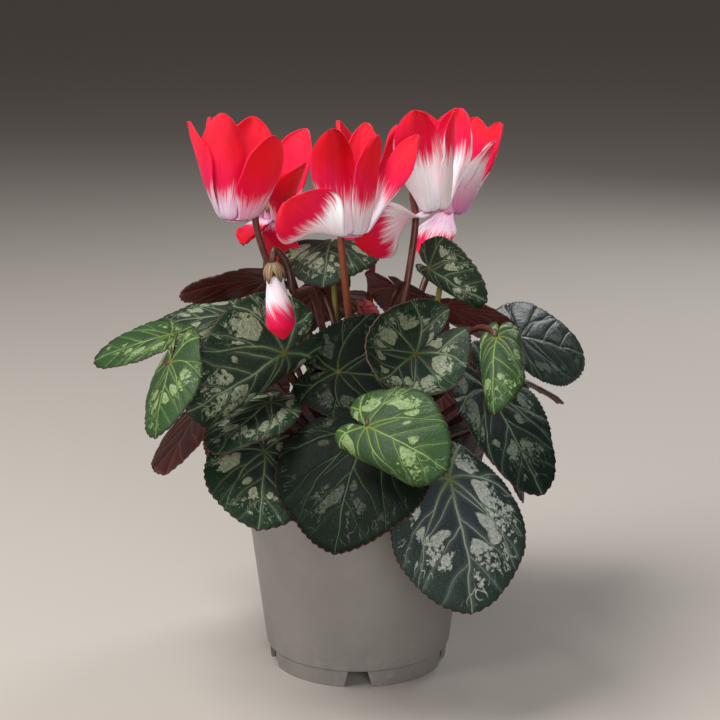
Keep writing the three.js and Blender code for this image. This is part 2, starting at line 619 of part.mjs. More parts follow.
const leaves = [
  leaf('leaf_left_flat', [-73.2, -30, 144.5], 172, 13, -17, 32.5, [16, -172, 1.0],
    { by: [-66, -38, 118], broad: 0.4, back: 0.62, lobes: 0.06, curl: 16, cup: -2, twist: 18 }),
  leaf('leaf_left_bright', [-69.4, -62, 141], -109, 48, 32, 29, [17, -157, 1.0],
    { by: [-84, -42, 138], broad: 0.57, back: 0.83, curl: 11, cup: -33, twist: 5 }),
  leaf('leaf_left_back_upper', [-39, 21, 157], -157, -4, 30, 37, [12, 165, 0.5]),
  leaf('leaf_left_back', [-54, 27, 140], 171, 2, -20, 38, [17, 152, 0.8]),
  leaf('leaf_front_left', [-28.3, -46, 141], -136, 19, -74, 46, [13, -125, 0.6],
    {
      broad: 0.56, widest: 0.1, back: 0.54, curl: 7, cup: -11, lobes: 0.04, slit: 2,
      hem: { side: 1, from: 0.02, roll: 140 },
    }),
  leaf('leaf_front_left_dark', [-34, -40, 120], -124, 10, 0, 35, [18, -139, 1.1]),
  leaf('leaf_left_red', [-61, -4, 113], 152, 48, 0, 42, [20, 172, 1.2]),
  leaf('leaf_low_left', [-35.5, -50, 103], -91, 34, -16, 34, [21, -120, 1.3],
    { broad: 0.66, curl: 9, cup: -7 }),
  leaf('leaf_low_front', [2, -61, 113], -112, 42, 2, 46, [20, -92, 1.1],
    { broad: 0.67, slit: 24, cup: -9, hem: { side: -1, from: 0.61, roll: -50 } }),
  leaf('leaf_front_bright', [3.5, -83.2, 122.6], -47, 5, 49, 35, [17, -80, 0.8],
    {
      by: [5, -62, 137], broad: 0.58, curl: 39, cup: -3, back: 0.72,
      hem: { side: -1, from: 0.24, roll: 149 },
    }),
  leaf('leaf_front_round', [21.7, -46.5, 140.8], -140, 25, -54, 33, [15, -64, 1.1],
    { by: [23, -54, 98], slit: 1, broad: 0.76, back: 1.03, lobes: 0.04, curl: -61, cup: 73 }),
  leaf('leaf_front_dark', [-2, -34, 131.6], -8, 2, 58, 34.5, [13, -100, 0.5], { cup: 25 }),
  leaf('leaf_low_right', [34.2, -65, 97], -63, 53, 1, 50, [21, -62, 1.3],
    { broad: 0.57, widest: 0.44, curl: 31, cup: -13 }),
  leaf('leaf_right_dark', [49.9, -40, 125.6], -45, 48, 2, 45, [18, -38, 0.9],
    { broad: 0.47, widest: 0.25, curl: 8, cup: 5 }),
  leaf('leaf_right_folded', [52, -55, 146], -102, 26, 11, 28, [16, -50, 0.8],
    { by: [44, -24, 160], slit: 2, broad: 0.44, curl: 38, cup: -101, twist: -27 }),
  leaf('leaf_right_glossy', [69.5, 36, 129], 34, 12, 45, 43, [17, 27, 0.8]),
  leaf('leaf_right_back', [60, 6, 121], 34, 20, 0, 34, [20, 8, 1.1]),
  leaf('leaf_upper_rolled', [28.5, -9, 167], -57, 15, 77, 30, [9, -25, 0.4],
    { lobes: 0.07, broad: 0.54, curl: 28, cup: 27, hem: { side: -1, from: 0.02, roll: 190 } }),
  leaf('leaf_upper_cupped', [-11, 18, 173], -97, 4, 0, 30, [8, 125, 0.2], { curl: 45, broad: 0.7 }),
  leaf('leaf_right_under', [36, 13, 147], 6, 8, -30, 30, [11, 14, 0.5]),
  leaf('leaf_young_red', [4, -20, 157.5], -60, 50, 0, 14, [8, -70, 0.3], { cup: 70 }),
  leaf('leaf_low_side_right', [57, -12, 104], -4, 62, 0, 34, [22, -12, 1.3]),
  leaf('leaf_low_back_right', [61.5, 28, 101], 22, 62, 0, 42, [22, 22, 1.3]),
  leaf('leaf_low_back', [36, 66, 100], 60, 62, 0, 44, [22, 58, 1.3]),
  leaf('leaf_low_back_middle', [-8, 75, 100], 97, 60, 0, 46, [22, 97, 1.3]),
  leaf('leaf_low_back_left', [-46, 54, 101], 134, 58, 0, 46, [22, 133, 1.3]),
  leaf('leaf_back_right', [48, 54, 117], 46, 42, 0, 40, [18, 44, 1.0]),
  leaf('leaf_back', [8, 71.5, 124], 86, 42, 0, 43, [18, 82, 1.0]),
  leaf('leaf_back_left', [-38, 52, 122], 122, 40, 0, 44, [18, 124, 1.0]),
  leaf('leaf_high_back_right', [36, 50, 142], 52, 26, 0, 36, [14, 50, 0.7]),
  leaf('leaf_high_back', [-10, 46, 146], 100, 22, 0, 34, [13, 100, 0.6]),
];

// Blooms: the mouth's centre, the petals in order round it, and the side on which the stalk passes up

function petal(azimuth, rise, flare, twist, more = {}) {
  return { azimuth, rise, flare, twist, ...more };
}

const blooms = [
  {
    name: 'bloom_left', at: [-48, -6, 186], stalkSide: 12, root: { ring: 8, bearing: -160, lean: 0.3 },
    petals: [
      petal(-42, 61, -15, 5, { length: 40, width: 24, cup: 17 }),
      petal(-122, 80, -18, 27, { length: 46, width: 18, cup: 54 }),
      petal(-180, 65, -19, 16), petal(130, 70, -10, 25), petal(70, 70, -10, 25),
    ],
  },
  {
    name: 'bloom_left_back', at: [-35, 26, 180.5], stalkSide: 98,
    root: { ring: 9, bearing: 152, lean: 0.3 }, via: [[-26.5, 31.5, 151]],
    petals: [
      petal(48, 77, 10, 2, { width: 18 }), petal(-64, 49, 2, 29, { length: 39, width: 20, cup: 58 }),
      petal(-100, -22, -8, -22, { length: 27, width: 17 }), petal(-166, 66, -14, 20),
      petal(146, 68, -10, 25),
    ],
  },
  {
    name: 'bloom_front', at: [-3, -19, 182], stalkSide: 118, root: { ring: 5, bearing: -80, lean: 0.2 },
    petals: [
      petal(62, 80, -3, 10, { length: 45, width: 15 }), petal(10, 58, -8, 25, { length: 46, width: 18 }),
      petal(-51, 70, -12, 18, { length: 44, width: 17 }),
      petal(-113, 76, -3, 39, { length: 46, width: 21, cup: 70 }),
      petal(-136, 25, -23, 80, { length: 39, width: 21, cup: 12 }),
    ],
  },
  {
    name: 'bloom_right', at: [30.5, 9.5, 187.1], stalkSide: 165, tilt: 8, toward: 180,
    root: { ring: 6, bearing: -10, lean: 0.3 },
    petals: [
      petal(90, 72, -6, 25), petal(30, 68, -10, 25), petal(-35, 74, -6, 25, { width: 18 }),
      petal(-102, 82, 0, 30, { length: 45, width: 22 }),
      petal(-146, -8, 0, 62, { length: 36, width: 22, cup: 15 }),
    ],
  },
  {
    name: 'bloom_far_right', at: [39.5, 42, 181.4], stalkSide: 108,
    root: { ring: 7, bearing: 40, lean: 0.3 },
    petals: [
      petal(52, 72, -6, 25), petal(2, 66, -10, 25),
      petal(-50, 57, -4, 30, { length: 40, width: 24, cup: 55 }),
      petal(-98, 80, 0, 10, { length: 46, width: 20, cup: 60 }),
      petal(-150, -42, -12, 10, { length: 28, width: 16 }),
    ],
  },
  {
    name: 'bloom_back', at: [6, 52, 180], stalkSide: 80, root: { ring: 6, bearing: 80, lean: 0.3 },
    petals: [
      petal(10, 68, -8, 25), petal(-48, 70, -8, 25), petal(-106, 70, -8, 25),
      petal(-164, 66, -8, 25), petal(136, -15, 0, 30, { length: 34 }),
    ],
  },
];

const buds = [
  {
    name: 'bud_front', at: [-31, -55, 173.3], stalkSide: 30, tilt: 8, toward: 165,
    root: { ring: 8, bearing: -120, lean: 0.4 }, via: [[-14, -25, 147], [-18, -39, 164]],
  },
  {
    name: 'bud_back', at: [-36, 66, 160], stalkSide: -120, tilt: 10, toward: 40,
    root: { ring: 14, bearing: 125, lean: 0.4 },
  },
];

const group = new THREE.Group();
const spaces = [];

for (const one of leaves) {
  group.add(meshOf(one.name, leafSolid(one), leafFinish()));
  spaces.push(stemSpace(petioleCurve(one), one.root, PETIOLE_RADIUS, PETIOLE_SIDES, PETIOLE_STEPS));
}
for (const bloom of blooms) {
  const stalk = stalkSolid(bloom, HOOK_LINE, STALK_STEPS, TUBE_HEIGHT);
  group.add(meshOf(`${bloom.name}_petals`, corollaSolid(bloom), petalFinish()));
  group.add(meshOf(`${bloom.name}_stalk`, stalk, stalkFinish()));
  spaces.push(stalkSpace(bloom, HOOK_LINE, STALK_STEPS));
}
for (const bud of buds) {
  const spindle = solidOf(budGeometry()).transform(bloomFrame(bud).elements);
  const stalk = stalkSolid(bud, BUD_HOOK_LINE, BUD_STALK_STEPS, 0);
  group.add(meshOf(`${bud.name}_petals`, spindle, petalFinish()));
  group.add(meshOf(`${bud.name}_stalk`, stalk, stalkFinish()));
  spaces.push(stalkSpace(bud, BUD_HOOK_LINE, BUD_STALK_STEPS));
}

const stems = joined(spaces);
group.add(meshOf('pot', potSolid(), potFinish()));
group.add(meshOf(
  'compost',
  solidOf(compostGeometry()).subtract(solidOf(tuberGeometry(CLEARANCE))).subtract(stems),
  compostFinish(),
));
group.add(meshOf('tuber', solidOf(tuberGeometry()).subtract(stems), tuberFinish()));

export default group;
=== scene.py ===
# A potted cyclamen: marbled leaves with veined, toothed blades, blooms with turned-back petals
# streaked from white to coral red, hanging buds, and a grey nursery pot. Lengths are in
# millimetres, and each mesh is scaled to metres at its end.

from math import atan2, copysign, cos, exp, hypot, pi, radians, sin, sqrt, tan

import bmesh
import bpy
from mathutils import Matrix, Quaternion, Vector, noise


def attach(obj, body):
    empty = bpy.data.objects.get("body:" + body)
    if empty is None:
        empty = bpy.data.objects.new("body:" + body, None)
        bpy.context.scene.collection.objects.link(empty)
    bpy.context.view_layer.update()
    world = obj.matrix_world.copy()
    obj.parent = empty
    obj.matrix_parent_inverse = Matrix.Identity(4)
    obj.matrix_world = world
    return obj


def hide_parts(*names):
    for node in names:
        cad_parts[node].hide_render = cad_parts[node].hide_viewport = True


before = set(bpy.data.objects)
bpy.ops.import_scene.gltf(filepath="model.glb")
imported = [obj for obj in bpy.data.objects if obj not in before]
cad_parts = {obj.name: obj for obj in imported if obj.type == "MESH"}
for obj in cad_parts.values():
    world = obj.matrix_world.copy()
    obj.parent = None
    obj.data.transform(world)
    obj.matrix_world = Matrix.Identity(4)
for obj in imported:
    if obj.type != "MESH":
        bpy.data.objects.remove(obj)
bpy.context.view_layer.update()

MM = 0.001
UP = Vector((0, 0, 1))

# Camera, looking down by its pitch, and the floor's reach to each side
CAMERA_AT = (0.00085, -0.6741, 0.2892)
CAMERA_PITCH = 13.5
CAMERA_LENS = 85
CAMERA_SENSOR = 36
FLOOR_REACH = 12000

# Pot
POT_RIM_RADIUS = 52.5
POT_HEIGHT = 92
POT_RIM_BAND = 13
POT_RIM_STEP = 2.2
POT_WALL = 1.3
POT_ROUNDING = 0.5
POT_BASE_RADIUS = 38.5
POT_SLOPE = 0.122
FOOT_HEIGHT = 7.3
WALL_TOP = POT_HEIGHT - POT_RIM_BAND
WALL_TOP_RADIUS = POT_BASE_RADIUS + POT_SLOPE * (WALL_TOP - FOOT_HEIGHT)
FOOT_RADIUS = 37.6
FOOT_TAPER = 0.7
FOOT_WALL = 1.6
FLOOR_THICKNESS = 1.4
NOTCH_COUNT = 5
NOTCH_TOP_WIDTH = 7.8
NOTCH_FOOT_WIDTH = 12
DRAIN_RADIUS = 4
DRAIN_RING = 25
POT_STEPS = 144
COMPOST_TOP = 82

# Tuber
TUBER_RADIUS = 26
TUBER_TOP = 92
TUBER_BOTTOM = 68
TUBER_MIDDLE = (TUBER_TOP + TUBER_BOTTOM) / 2
TUBER_HALF = (TUBER_TOP - TUBER_BOTTOM) / 2
ROOT_DEPTH = 3

# Blade outline
SLIT_HALF_ANGLE = 7
LOBE_ROUNDING = 16
LOBE_BULGE = 0.1
LOBE_ANGLE = 152
LOBE_SPREAD = 28
LOBE_CROWDING = 1.25
WIDEST = 0.36
BACK_REACH = 0.66
TIP_POINT = 0.03
TIP_POINT_ANGLE = 18
TIP_TAPER = 0.05
TIP_TAPER_ANGLE = 30
TIP_TAPER_SPREAD = 16
BROAD = 0.51
BLADE_THICKNESS = 0.5
BLADE_CUP = -12
BLADE_CURL = 20
BLADE_RIPPLE = 0.04
BLADE_RINGS = 18
TEETH_PER_MM = 2.1
COLUMNS_PER_TOOTH = 3
TOOTH_DEPTH = 0.42
MARGIN_UNEVEN = 0.012
CRINKLE = 0.5

# Petioles: their shape as shares of the way from the tuber to the blade
PETIOLE_RADIUS = 1.25
PETIOLE_STEPS = 26
PETIOLE_SIDES = 12
PETIOLE_LAUNCH = 0.4
PETIOLE_BEHIND = 0.07
PETIOLE_BELOW = 0.28

# Veins, as shares of the blade's length: the angle between the main veins and how they bow to the
# tip, the start and lean of each side vein's branches, and where branches leave the midrib
VEIN_ANGLE = radians(52)
VEIN_BOW = 1.1
SIDE_BRANCHES = ((0.27, 0.60), (0.56, 0.42))
MIDRIB_BRANCHES = (0.09, 0.32, 0.61)
BRANCH_STAGGER = 0.025
BRANCH_ANGLE = radians(44)
BRANCH_BOW = 0.5
BRANCH_THIN = 0.0035
RIB_FIELD = 0.9
VEIN_WIDTHS = (0.0150, 0.0080)
VEIN_GROOVE = 0.028
VEIN_SINK = 0.45
WANDER = 0.035
FINE_WANDER = 0.012
FLAT_ORIGIN = 0.45
FLAT_SCALE = 0.5

# Silver patches: the ring they follow and its half width, as shares of the way to the margin, and
# the distance that they keep from the veins
PATCH_RING = (0.50, 0.70)
PATCH_BAND = 0.19
PATCH_ROOM = 0.045

# Petals and blooms
PETAL_LENGTH = 43
PETAL_WIDTH = 21
PETAL_CUP = 40
PETAL_THICKNESS = 0.45
PETAL_COLUMNS = 22
PETAL_ROWS = 44
PETAL_CROWDING = 1.5
PETAL_WELD = 0.0001
MOUTH_RADIUS = 4.4
TUBE_TOP_RADIUS = 3.2
TUBE_HEIGHT = 7
PETAL_ROOT_DIP = -25
PETAL_TURN = 5
PETAL_ROOT_INSET = 0.8
PETAL_ROOT_SHARE = 0.36
PETAL_WIDEST = 0.64
PETAL_SWELL = 1.7
PETAL_SHOULDER = 2.6
PETAL_TIP_SHARE = 0.02
TIP_SETBACK = 0.3
KEEL_HEIGHT = 0.35
KEEL_WIDTH = 0.16
RUFFLE = 2.8
RIPPLE = 0.7
STALK_RADIUS = 1.6
STALK_SIDES = 14
STALK_SPACING = 2.2
STALK_RISE = 12
SEAT_GAP = 0.3
HOOK_LINE = ((7.8, -3), (7.6, 8), (5.6, 14.6), (1.9, 15.9), (0, 10.6))
BUD_HOOK_LINE = ((6.8, -8), (6.2, 0), (4.4, 6), (1.6, 9), (0, 3.4))
BUD_LENGTH = 25
BUD_RADIUS = 5.4
BUD_TURNS = 0.45
BUD_NECK = 0.58
BUD_LOWER_SWELL = 1.8
BUD_OVERLAP = 0.10
BUD_ZONE = (0.44, 0.2)

# Sepals: their length, the radius they close round, how far their points stand off, and the height
# of their roots above the mouth
BLOOM_SEPALS = (6.5, 4.2, 0.6, TUBE_HEIGHT + 3.6)
BUD_SEPALS = (6.6, 3.6, 0.2, 3.7)
CALYX_WALL = 0.4
BUD_CALYX_WALL = 0.45


# Finishes

def operator(name):
    return lambda value, other=0.0: value.finish.math(name, value, other)


class Value:
    """What a shader works out. It takes part in sums as a plain number does."""

    def __init__(self, finish, socket):
        self.finish = finish
        self.socket = socket

    __abs__ = operator("ABSOLUTE")
    __add__ = operator("ADD")
    __sub__ = operator("SUBTRACT")
    __mul__ = operator("MULTIPLY")
    __truediv__ = operator("DIVIDE")
    __pow__ = operator("POWER")


def linear(value):
    share = value / 255
    return share / 12.92 if share <= 0.04045 else ((share + 0.055) / 1.055) ** 2.4


def colour(tone):
    """A colour for a shader: one given as it looks on a screen, 0 to 255, is made linear."""
    return tone if isinstance(tone, Value) else (*(linear(value) for value in tone), 1.0)


class Finish:
    """A material in the making: each method adds one node and hands on its output."""

    def __init__(self, name):
        self.material = bpy.data.materials.new(name)
        self.material.use_nodes = True
        self.tree = self.material.node_tree
        self.shader = self.tree.nodes["Principled BSDF"]

    def node(self, kind, inputs, output=0, **settings):
        node = self.tree.nodes.new("ShaderNode" + kind)
        for key, value in settings.items():
            setattr(node, key, value)
        for socket, value in inputs.items():
            self.feed(node.inputs[socket], value)
        return Value(self, node.outputs[output])

    def feed(self, socket, value):
        if isinstance(value, Value):
            self.tree.links.new(value.socket, socket)
        else:
            socket.default_value = value

    def set(self, socket, value):
        self.feed(self.shader.inputs[socket], value)

    def math(self, operation, first, second=0.0):
        return self.node("Math", {0: first, 1: second}, operation=operation)

    def part(self, vector, axis):
        return self.node("SeparateXYZ", {0: vector}, axis)

    def uv(self, name):
        place = self.node("UVMap", {}, uv_map=name)
        return self.part(place, 0), self.part(place, 1)

    def place(self):
        return self.node("TexCoord", {}, "Object")

    def height(self):
        return self.part(self.place(), 2)

    def noise(self, where, scale, detail=2.0, roughness=0.5):
        return self.node("TexNoise", {
            "Vector": where, "Scale": scale, "Detail": detail, "Roughness": roughness,
        })

    def streaks(self, across, along, detail, roughness=0.5):
        """Noise over a UV map that is already stretched to the streaks' size."""
        return self.noise(self.node("CombineXYZ", {0: across, 1: along}), 1.0, detail, roughness)

    def step(self, value, low, high, start=0.0, end=1.0):
        """A smooth passage from start to end while value goes from low to high."""
        return self.node("MapRange", {
            "Value": value, "From Min": low, "From Max": high, "To Min": start, "To Max": end,
        }, interpolation_type="SMOOTHSTEP")

    def mix(self, share, first, second):
        inputs = {0: share, 6: colour(first), 7: colour(second)}
        return self.node("Mix", inputs, 2, data_type="RGBA")

    def finished(self, base, roughness, relief=None, depth=0.0, strength=1.0):
        """Feeds the shader with its colour, roughness and relief, and hands over the material."""
        self.set("Base Color", colour(base))
        self.set("Roughness", roughness)
        if relief:
            bump = {"Height": relief, "Distance": depth, "Strength": strength}
            self.set("Normal", self.node("Bump", bump))
        return self.material


PLAIN_MATH = {
    "ARCTAN2": atan2, "MAXIMUM": max, "MINIMUM": min, "ROUND": round,
    "SIGN": lambda value: copysign(1, value), "SQRT": sqrt,
}


def plain_math(operation, *values):
    return PLAIN_MATH[operation](*values)


def vein_field(x, v, do=plain_math):
    """Distance to the nearest vein, reach, and distance from the midrib, in shares of the blade's
    length, for plain numbers, or for a shader's where do is the math of its Finish."""
    y = abs(v)
    reach = do("SQRT", x * x + y * y)
    turn = (do("ARCTAN2", y, x) + y * VEIN_BOW) / VEIN_ANGLE
    lean = (turn - do("MAXIMUM", do("ROUND", turn), 1)) * VEIN_ANGLE * reach
    side = abs(lean)
    for start, slope in SIDE_BRANCHES:
        beyond = reach - start
        early = do("MAXIMUM", beyond * -1, 0)
        side = do("MINIMUM", side, abs(lean - beyond * slope) + early + BRANCH_THIN)
    rib = y
    shifted = x + do("SIGN", v) * BRANCH_STAGGER
    bowed = (y * BRANCH_BOW + 1 / tan(BRANCH_ANGLE)) * y
    for start in MIDRIB_BRANCHES:
        beyond = shifted - start
        early = do("MAXIMUM", beyond * -1, 0)
        rib = do("MINIMUM", rib, abs(beyond - bowed) * sin(BRANCH_ANGLE) + early + BRANCH_THIN)
    past = do("MAXIMUM", turn - RIB_FIELD, 0)
    return do("MINIMUM", side, rib + past), reach, y


def shaded_veins(f):
    """The veins' lines for a shader, from the flat UV map."""
    along, across = f.uv("flat")
    return vein_field((along - FLAT_ORIGIN) / FLAT_SCALE, (across - 0.5) / FLAT_SCALE, f.math)


def blade_finish(name, tones, marbling, roughness, gloss=0.18, shift=0.0):
    """Upper side of a blade: slate green, silver patches between the veins with ragged outer edges,
    broken silver lace beyond them, and pale veins that fade outwards. The tones are the inner and the
    outer ground, the silver, the veins and the heart where they meet."""
    f = Finish(name)
    inner, outer, silver, vein, heart = tones
    distance, reach, off_rib = shaded_veins(f)
    around, ring = f.uv("rings")
    where = f.place()
    large = f.noise(where, 62.0, 1.0)
    other = f.noise(f.node("VectorMath", {0: where, 1: (shift, 0.0, 0.0)}, operation="ADD"), 70.0, 1.0)
    ragged = f.noise(where, 480.0, 4.0, 0.7)
    cloud = f.noise(where, 150.0, 3.0, 0.6)
    grain = f.noise(where, 1300.0, 2.0, 0.6)
    pebbles = f.node("TexVoronoi", {"Vector": where, "Scale": 900.0, "Randomness": 0.9})

    ground = f.mix(f.step(ring, 0.25, 0.95), inner, outer)
    ground = f.mix(f.step(cloud, 0.40, 0.72, 0.0, 0.40), ground, outer)
    beside = f.mix(0.30, ground, silver)
    ground = f.mix(f.step(distance, PATCH_ROOM, 0.004, 0.0, 0.35), ground, beside)
    ground = f.mix(f.step(grain, 0.48, 0.80, 0.0, 0.10), ground, silver)
    ground = f.mix(f.step(ring, 0.90, 1.0, 0.0, 0.45), ground, f.mix(0.5, outer, (16, 24, 18)))

    centre = f.step(large, 0.3, 0.7, *PATCH_RING)
    off_centre = (ring - centre) / PATCH_BAND
    room = f.math("MINIMUM", distance / PATCH_ROOM, 1.4)
    chosen = f.step(other, 0.44 - 0.13 * marbling, 0.62 - 0.11 * marbling, -1.2, 0.25 * marbling)
    torn = (ragged - 0.5) * f.step(off_centre, -0.3, 0.7, 0.7, 5.0)
    holes = f.step(ragged + f.step(off_centre, -0.5, 0.8, 0.12, -0.10), 0.36, 0.46)
    patch = f.step(room - off_centre * off_centre + chosen + torn, 0.50, 0.78) * holes

    lace = f.step(abs(f.streaks(around * 88.0, ring * 7.0, 1.0, 0.4) - 0.5), 0.034, 0.014)
    there = f.step(off_centre, 0.1, 0.6) * f.step(ring, 0.97, 0.90)
    there = there * f.step(f.noise(where, 170.0, 1.0), 0.44, 0.54) * f.step(other, 0.36, 0.48)
    lace = lace * there * f.step(distance, 0.004, 0.012)

    bright = f.mix(0.24 * marbling, silver, (226, 228, 214))
    tone = f.mix(f.step(grain, 0.30, 0.62), f.mix(0.35, silver, ground), bright)
    tone = f.mix(f.step(pebbles, 0.35, 0.75, 0.0, 0.5), tone, f.mix(0.5, silver, ground))
    painted = f.mix(patch * min(1, 0.55 + 0.40 * marbling), ground, tone)
    painted = f.mix(lace * min(1, 0.35 + 0.40 * marbling), painted, tone)
    line = f.step(distance / f.step(reach, 0.0, 0.9, *VEIN_WIDTHS), 1.0, 0.3)
    faded = f.step(reach, 0.95, 0.35, 0.45, 0.95) * f.step(cloud, 0.36, 0.50, 0.6, 1.0)
    rib = f.step(off_rib, 0.016, 0.008) * f.step(reach, 0.4, 1.0, 0.9, 0.75)
    line = line * f.math("MAXIMUM", faded, rib)
    painted = f.mix(line, painted, f.mix(f.step(reach, 0.03, 0.30), heart, vein))
    rusty = f.mix(0.4, heart, (150, 74, 36))
    painted = f.mix(f.step(reach, 0.035, 0.010, 0.0, 0.7), painted, rusty)
    painted = f.mix(f.step(ring, 0.984, 1.0, 0.0, 0.7), painted, (74, 36, 30))
    f.set("Specular IOR Level", gloss)
    mottled = f.step(cloud, 0.3, 0.7, roughness - 0.05, roughness + 0.08)
    relief = grain * 0.25 + f.step(distance, 0.0, 0.02) * 0.5 + pebbles * -0.3
    return f.finished(painted, mottled, relief, 0.0005, 0.8)


def blade_back_finish():
    """Underside of a blade: wine red with raised, paler veins."""
    f = Finish("blade_underside")
    distance = shaded_veins(f)[0]
    where = f.place()
    clouds = f.noise(where, 60.0, 3.0, 0.6)
    ground = f.mix(f.step(clouds, 0.3, 0.7), (68, 13, 20), (108, 32, 35))
    line = f.step(distance, 0.016, 0.004)
    veined = f.mix(line * 0.55, ground, (160, 84, 66))
    return f.finished(veined, 0.5, f.noise(where, 700.0) * 0.3 + line * 0.7, 0.0004, 0.8)


def blade_edge_finish():
    f = Finish("blade_margin")
    specks = f.step(f.noise(f.place(), 500.0), 0.35, 0.65)
    return f.finished(f.mix(specks, (46, 25, 21), (80, 45, 36)), 0.55)


def stem_finish(name, low, high, low_at, high_at):
    """Petiole or stalk: one colour below passing into another above, with fine length-wise streaks."""
    f = Finish(name)
    around, along = f.uv("skin")
    base = f.mix(f.step(f.height(), low_at * MM, high_at * MM), low, high)
    pale = f.mix(0.22, base, (176, 112, 80))
    bloomed = f.noise(f.place(), 500.0, 2.0)
    tone = f.streaks(around * 14.0, along * 3.0, 3.0, 0.6) * 0.6 + bloomed * 0.4
    return f.finished(f.mix(f.step(tone, 0.38, 0.72), base, pale), 0.42, tone, 0.00025, 0.6)


def petal_finish(name, *tones):
    """Petal: white at the base, feathered into magenta and red. The tones are red, a darker red for
    painted shade, magenta and blush. The zone map carries how far up the white runs and how mauve the
    base is, and the tone map how far the red is painted darker, as painted shade for petals that lie
    in shadow."""
    f = Finish(name)
    red, painted_shade_red, magenta, blush = tones
    across, along = f.uv("petal")
    white_reach, mauve = f.uv("zone")
    deep = f.uv("tone")[0]
    fine = f.streaks(across * 30.0, along * 2.4, 4.0, 0.65)
    wide = f.streaks(across * 7.0, along * 2.0, 2.0)
    own = f.noise(f.place(), 40.0, 2.0)
    off_middle = abs(across * 2.0 - 1.0)
    front = (fine - 0.5) * 0.50 + (along - white_reach)
    front = front + (wide - 0.5) * 0.30 + (own - 0.5) * 0.25 - off_middle ** 4.0 * 0.16
    turned = f.step(front, -0.10, 0.12)
    deepened = f.step(front, 0.04, 0.42)

    streaked = f.math("MINIMUM", f.step(fine, 0.44, 0.70) * (mauve * 0.8 + 0.25), 1.0)
    white = f.mix(streaked, (255, 248, 251), blush)
    white = f.mix(mauve * f.step(along, 0.85, 0.1), white, (208, 136, 182))
    white = f.mix(f.step(along, 0.07, 0.0), white, (196, 122, 166))
    coral = f.mix(f.step(own, 0.35, 0.65, 0.0, 0.6), red, magenta)
    coral = f.mix(f.step(along, 0.60, 1.0, 0.0, 0.7), coral, red)
    # Painted shade: petals that lie in shadow have their red painted darker by the tone map
    coral = f.mix(deep, coral, painted_shade_red)
    velvet = f.mix(deepened, magenta, coral)
    veined = f.mix(f.step(fine, 0.56, 0.72, 0.0, 0.22), velvet, magenta)
    f.set("Specular IOR Level", 0.15)
    f.set("Subsurface Weight", 0.5)
    f.set("Subsurface Scale", 1.0)
    f.set("Subsurface Radius", (0.0030, 0.0008, 0.0010))
    f.set("Sheen Weight", 0.04)
    return f.finished(f.mix(turned, white, veined), 0.55, fine, 0.0004, 0.5)


def pot_finish():
    """Grey moulded plastic: satin, finely pitted, with a little dust and dried water near the foot."""
    f = Finish("pot_plastic")
    where = f.place()
    clouds = f.noise(where, 26.0, 3.0, 0.6)
    scuffs = f.noise(where, 140.0, 4.0, 0.7)
    dust = f.step(f.height(), 0.03, 0.0, 0.15, 0.7) * f.step(scuffs, 0.48, 0.7)
    base = f.mix(f.step(clouds, 0.35, 0.65), (126, 122, 120), (134, 130, 127))
    dusty = f.mix(dust, base, (150, 144, 138))
    relief = f.noise(where, 1600.0, 2.0, 0.5) * 0.6 + clouds * 0.4
    return f.finished(dusty, f.step(scuffs, 0.3, 0.7, 0.42, 0.56), relief, 0.0002, 0.35)


def compost_finish():
    f = Finish("peat")
    where = f.place()
    crumbs = f.node("TexVoronoi", {"Vector": where, "Scale": 420.0})
    clouds = f.noise(where, 200.0, 4.0, 0.7)
    base = f.mix(f.step(clouds, 0.3, 0.7), (34, 25, 19), (84, 62, 46))
    crumbly = f.mix(f.step(crumbs, 0.5, 0.1), base, (58, 42, 30))
    return f.finished(crumbly, 0.95, clouds + crumbs * 0.6, 0.0012)


def tuber_finish():
    f = Finish("corky_skin")
    where = f.place()
    cracks = f.node("TexVoronoi", {"Vector": where, "Scale": 260.0}, feature="DISTANCE_TO_EDGE")
    clouds = f.noise(where, 120.0, 4.0, 0.7)
    base = f.mix(f.step(clouds, 0.3, 0.7), (70, 50, 36), (128, 98, 72))
    cracked = f.mix(f.step(cracks, 0.06, 0.0), base, (46, 32, 24))
    return f.finished(cracked, 0.85, clouds + f.step(cracks, 0.0, 0.1), 0.0008)


def calyx_finish(name, ground, stripe, tip):
    """Sepals: striped along their length, darker towards the point."""
    f = Finish(name)
    across, along = f.uv("skin")
    stripes = f.streaks(across * 22.0, along * 1.2, 2.0)
    base = f.mix(f.step(stripes, 0.44, 0.58), ground, stripe)
    tipped = f.mix(f.step(along, 0.55, 1.0, 0.0, 0.8), base, tip)
    return f.finished(tipped, 0.5, stripes, 0.0004, 0.7)


# The slate blade has its own blue-grey tone and large silver patches. Its ground is also lightened as
# painted light, since this blade hangs out of the key light
SLATE_PAINTED_LIGHT = blade_finish("blade_slate_painted_light", (
    (54, 64, 70), (40, 58, 52), (176, 186, 176), (150, 172, 150), (96, 120, 70)), 1.2, 0.46)
DARK = blade_finish("blade_dark", (
    (32, 42, 42), (17, 34, 27), (112, 128, 108), (108, 134, 106), (72, 100, 52)), 0.6, 0.44)
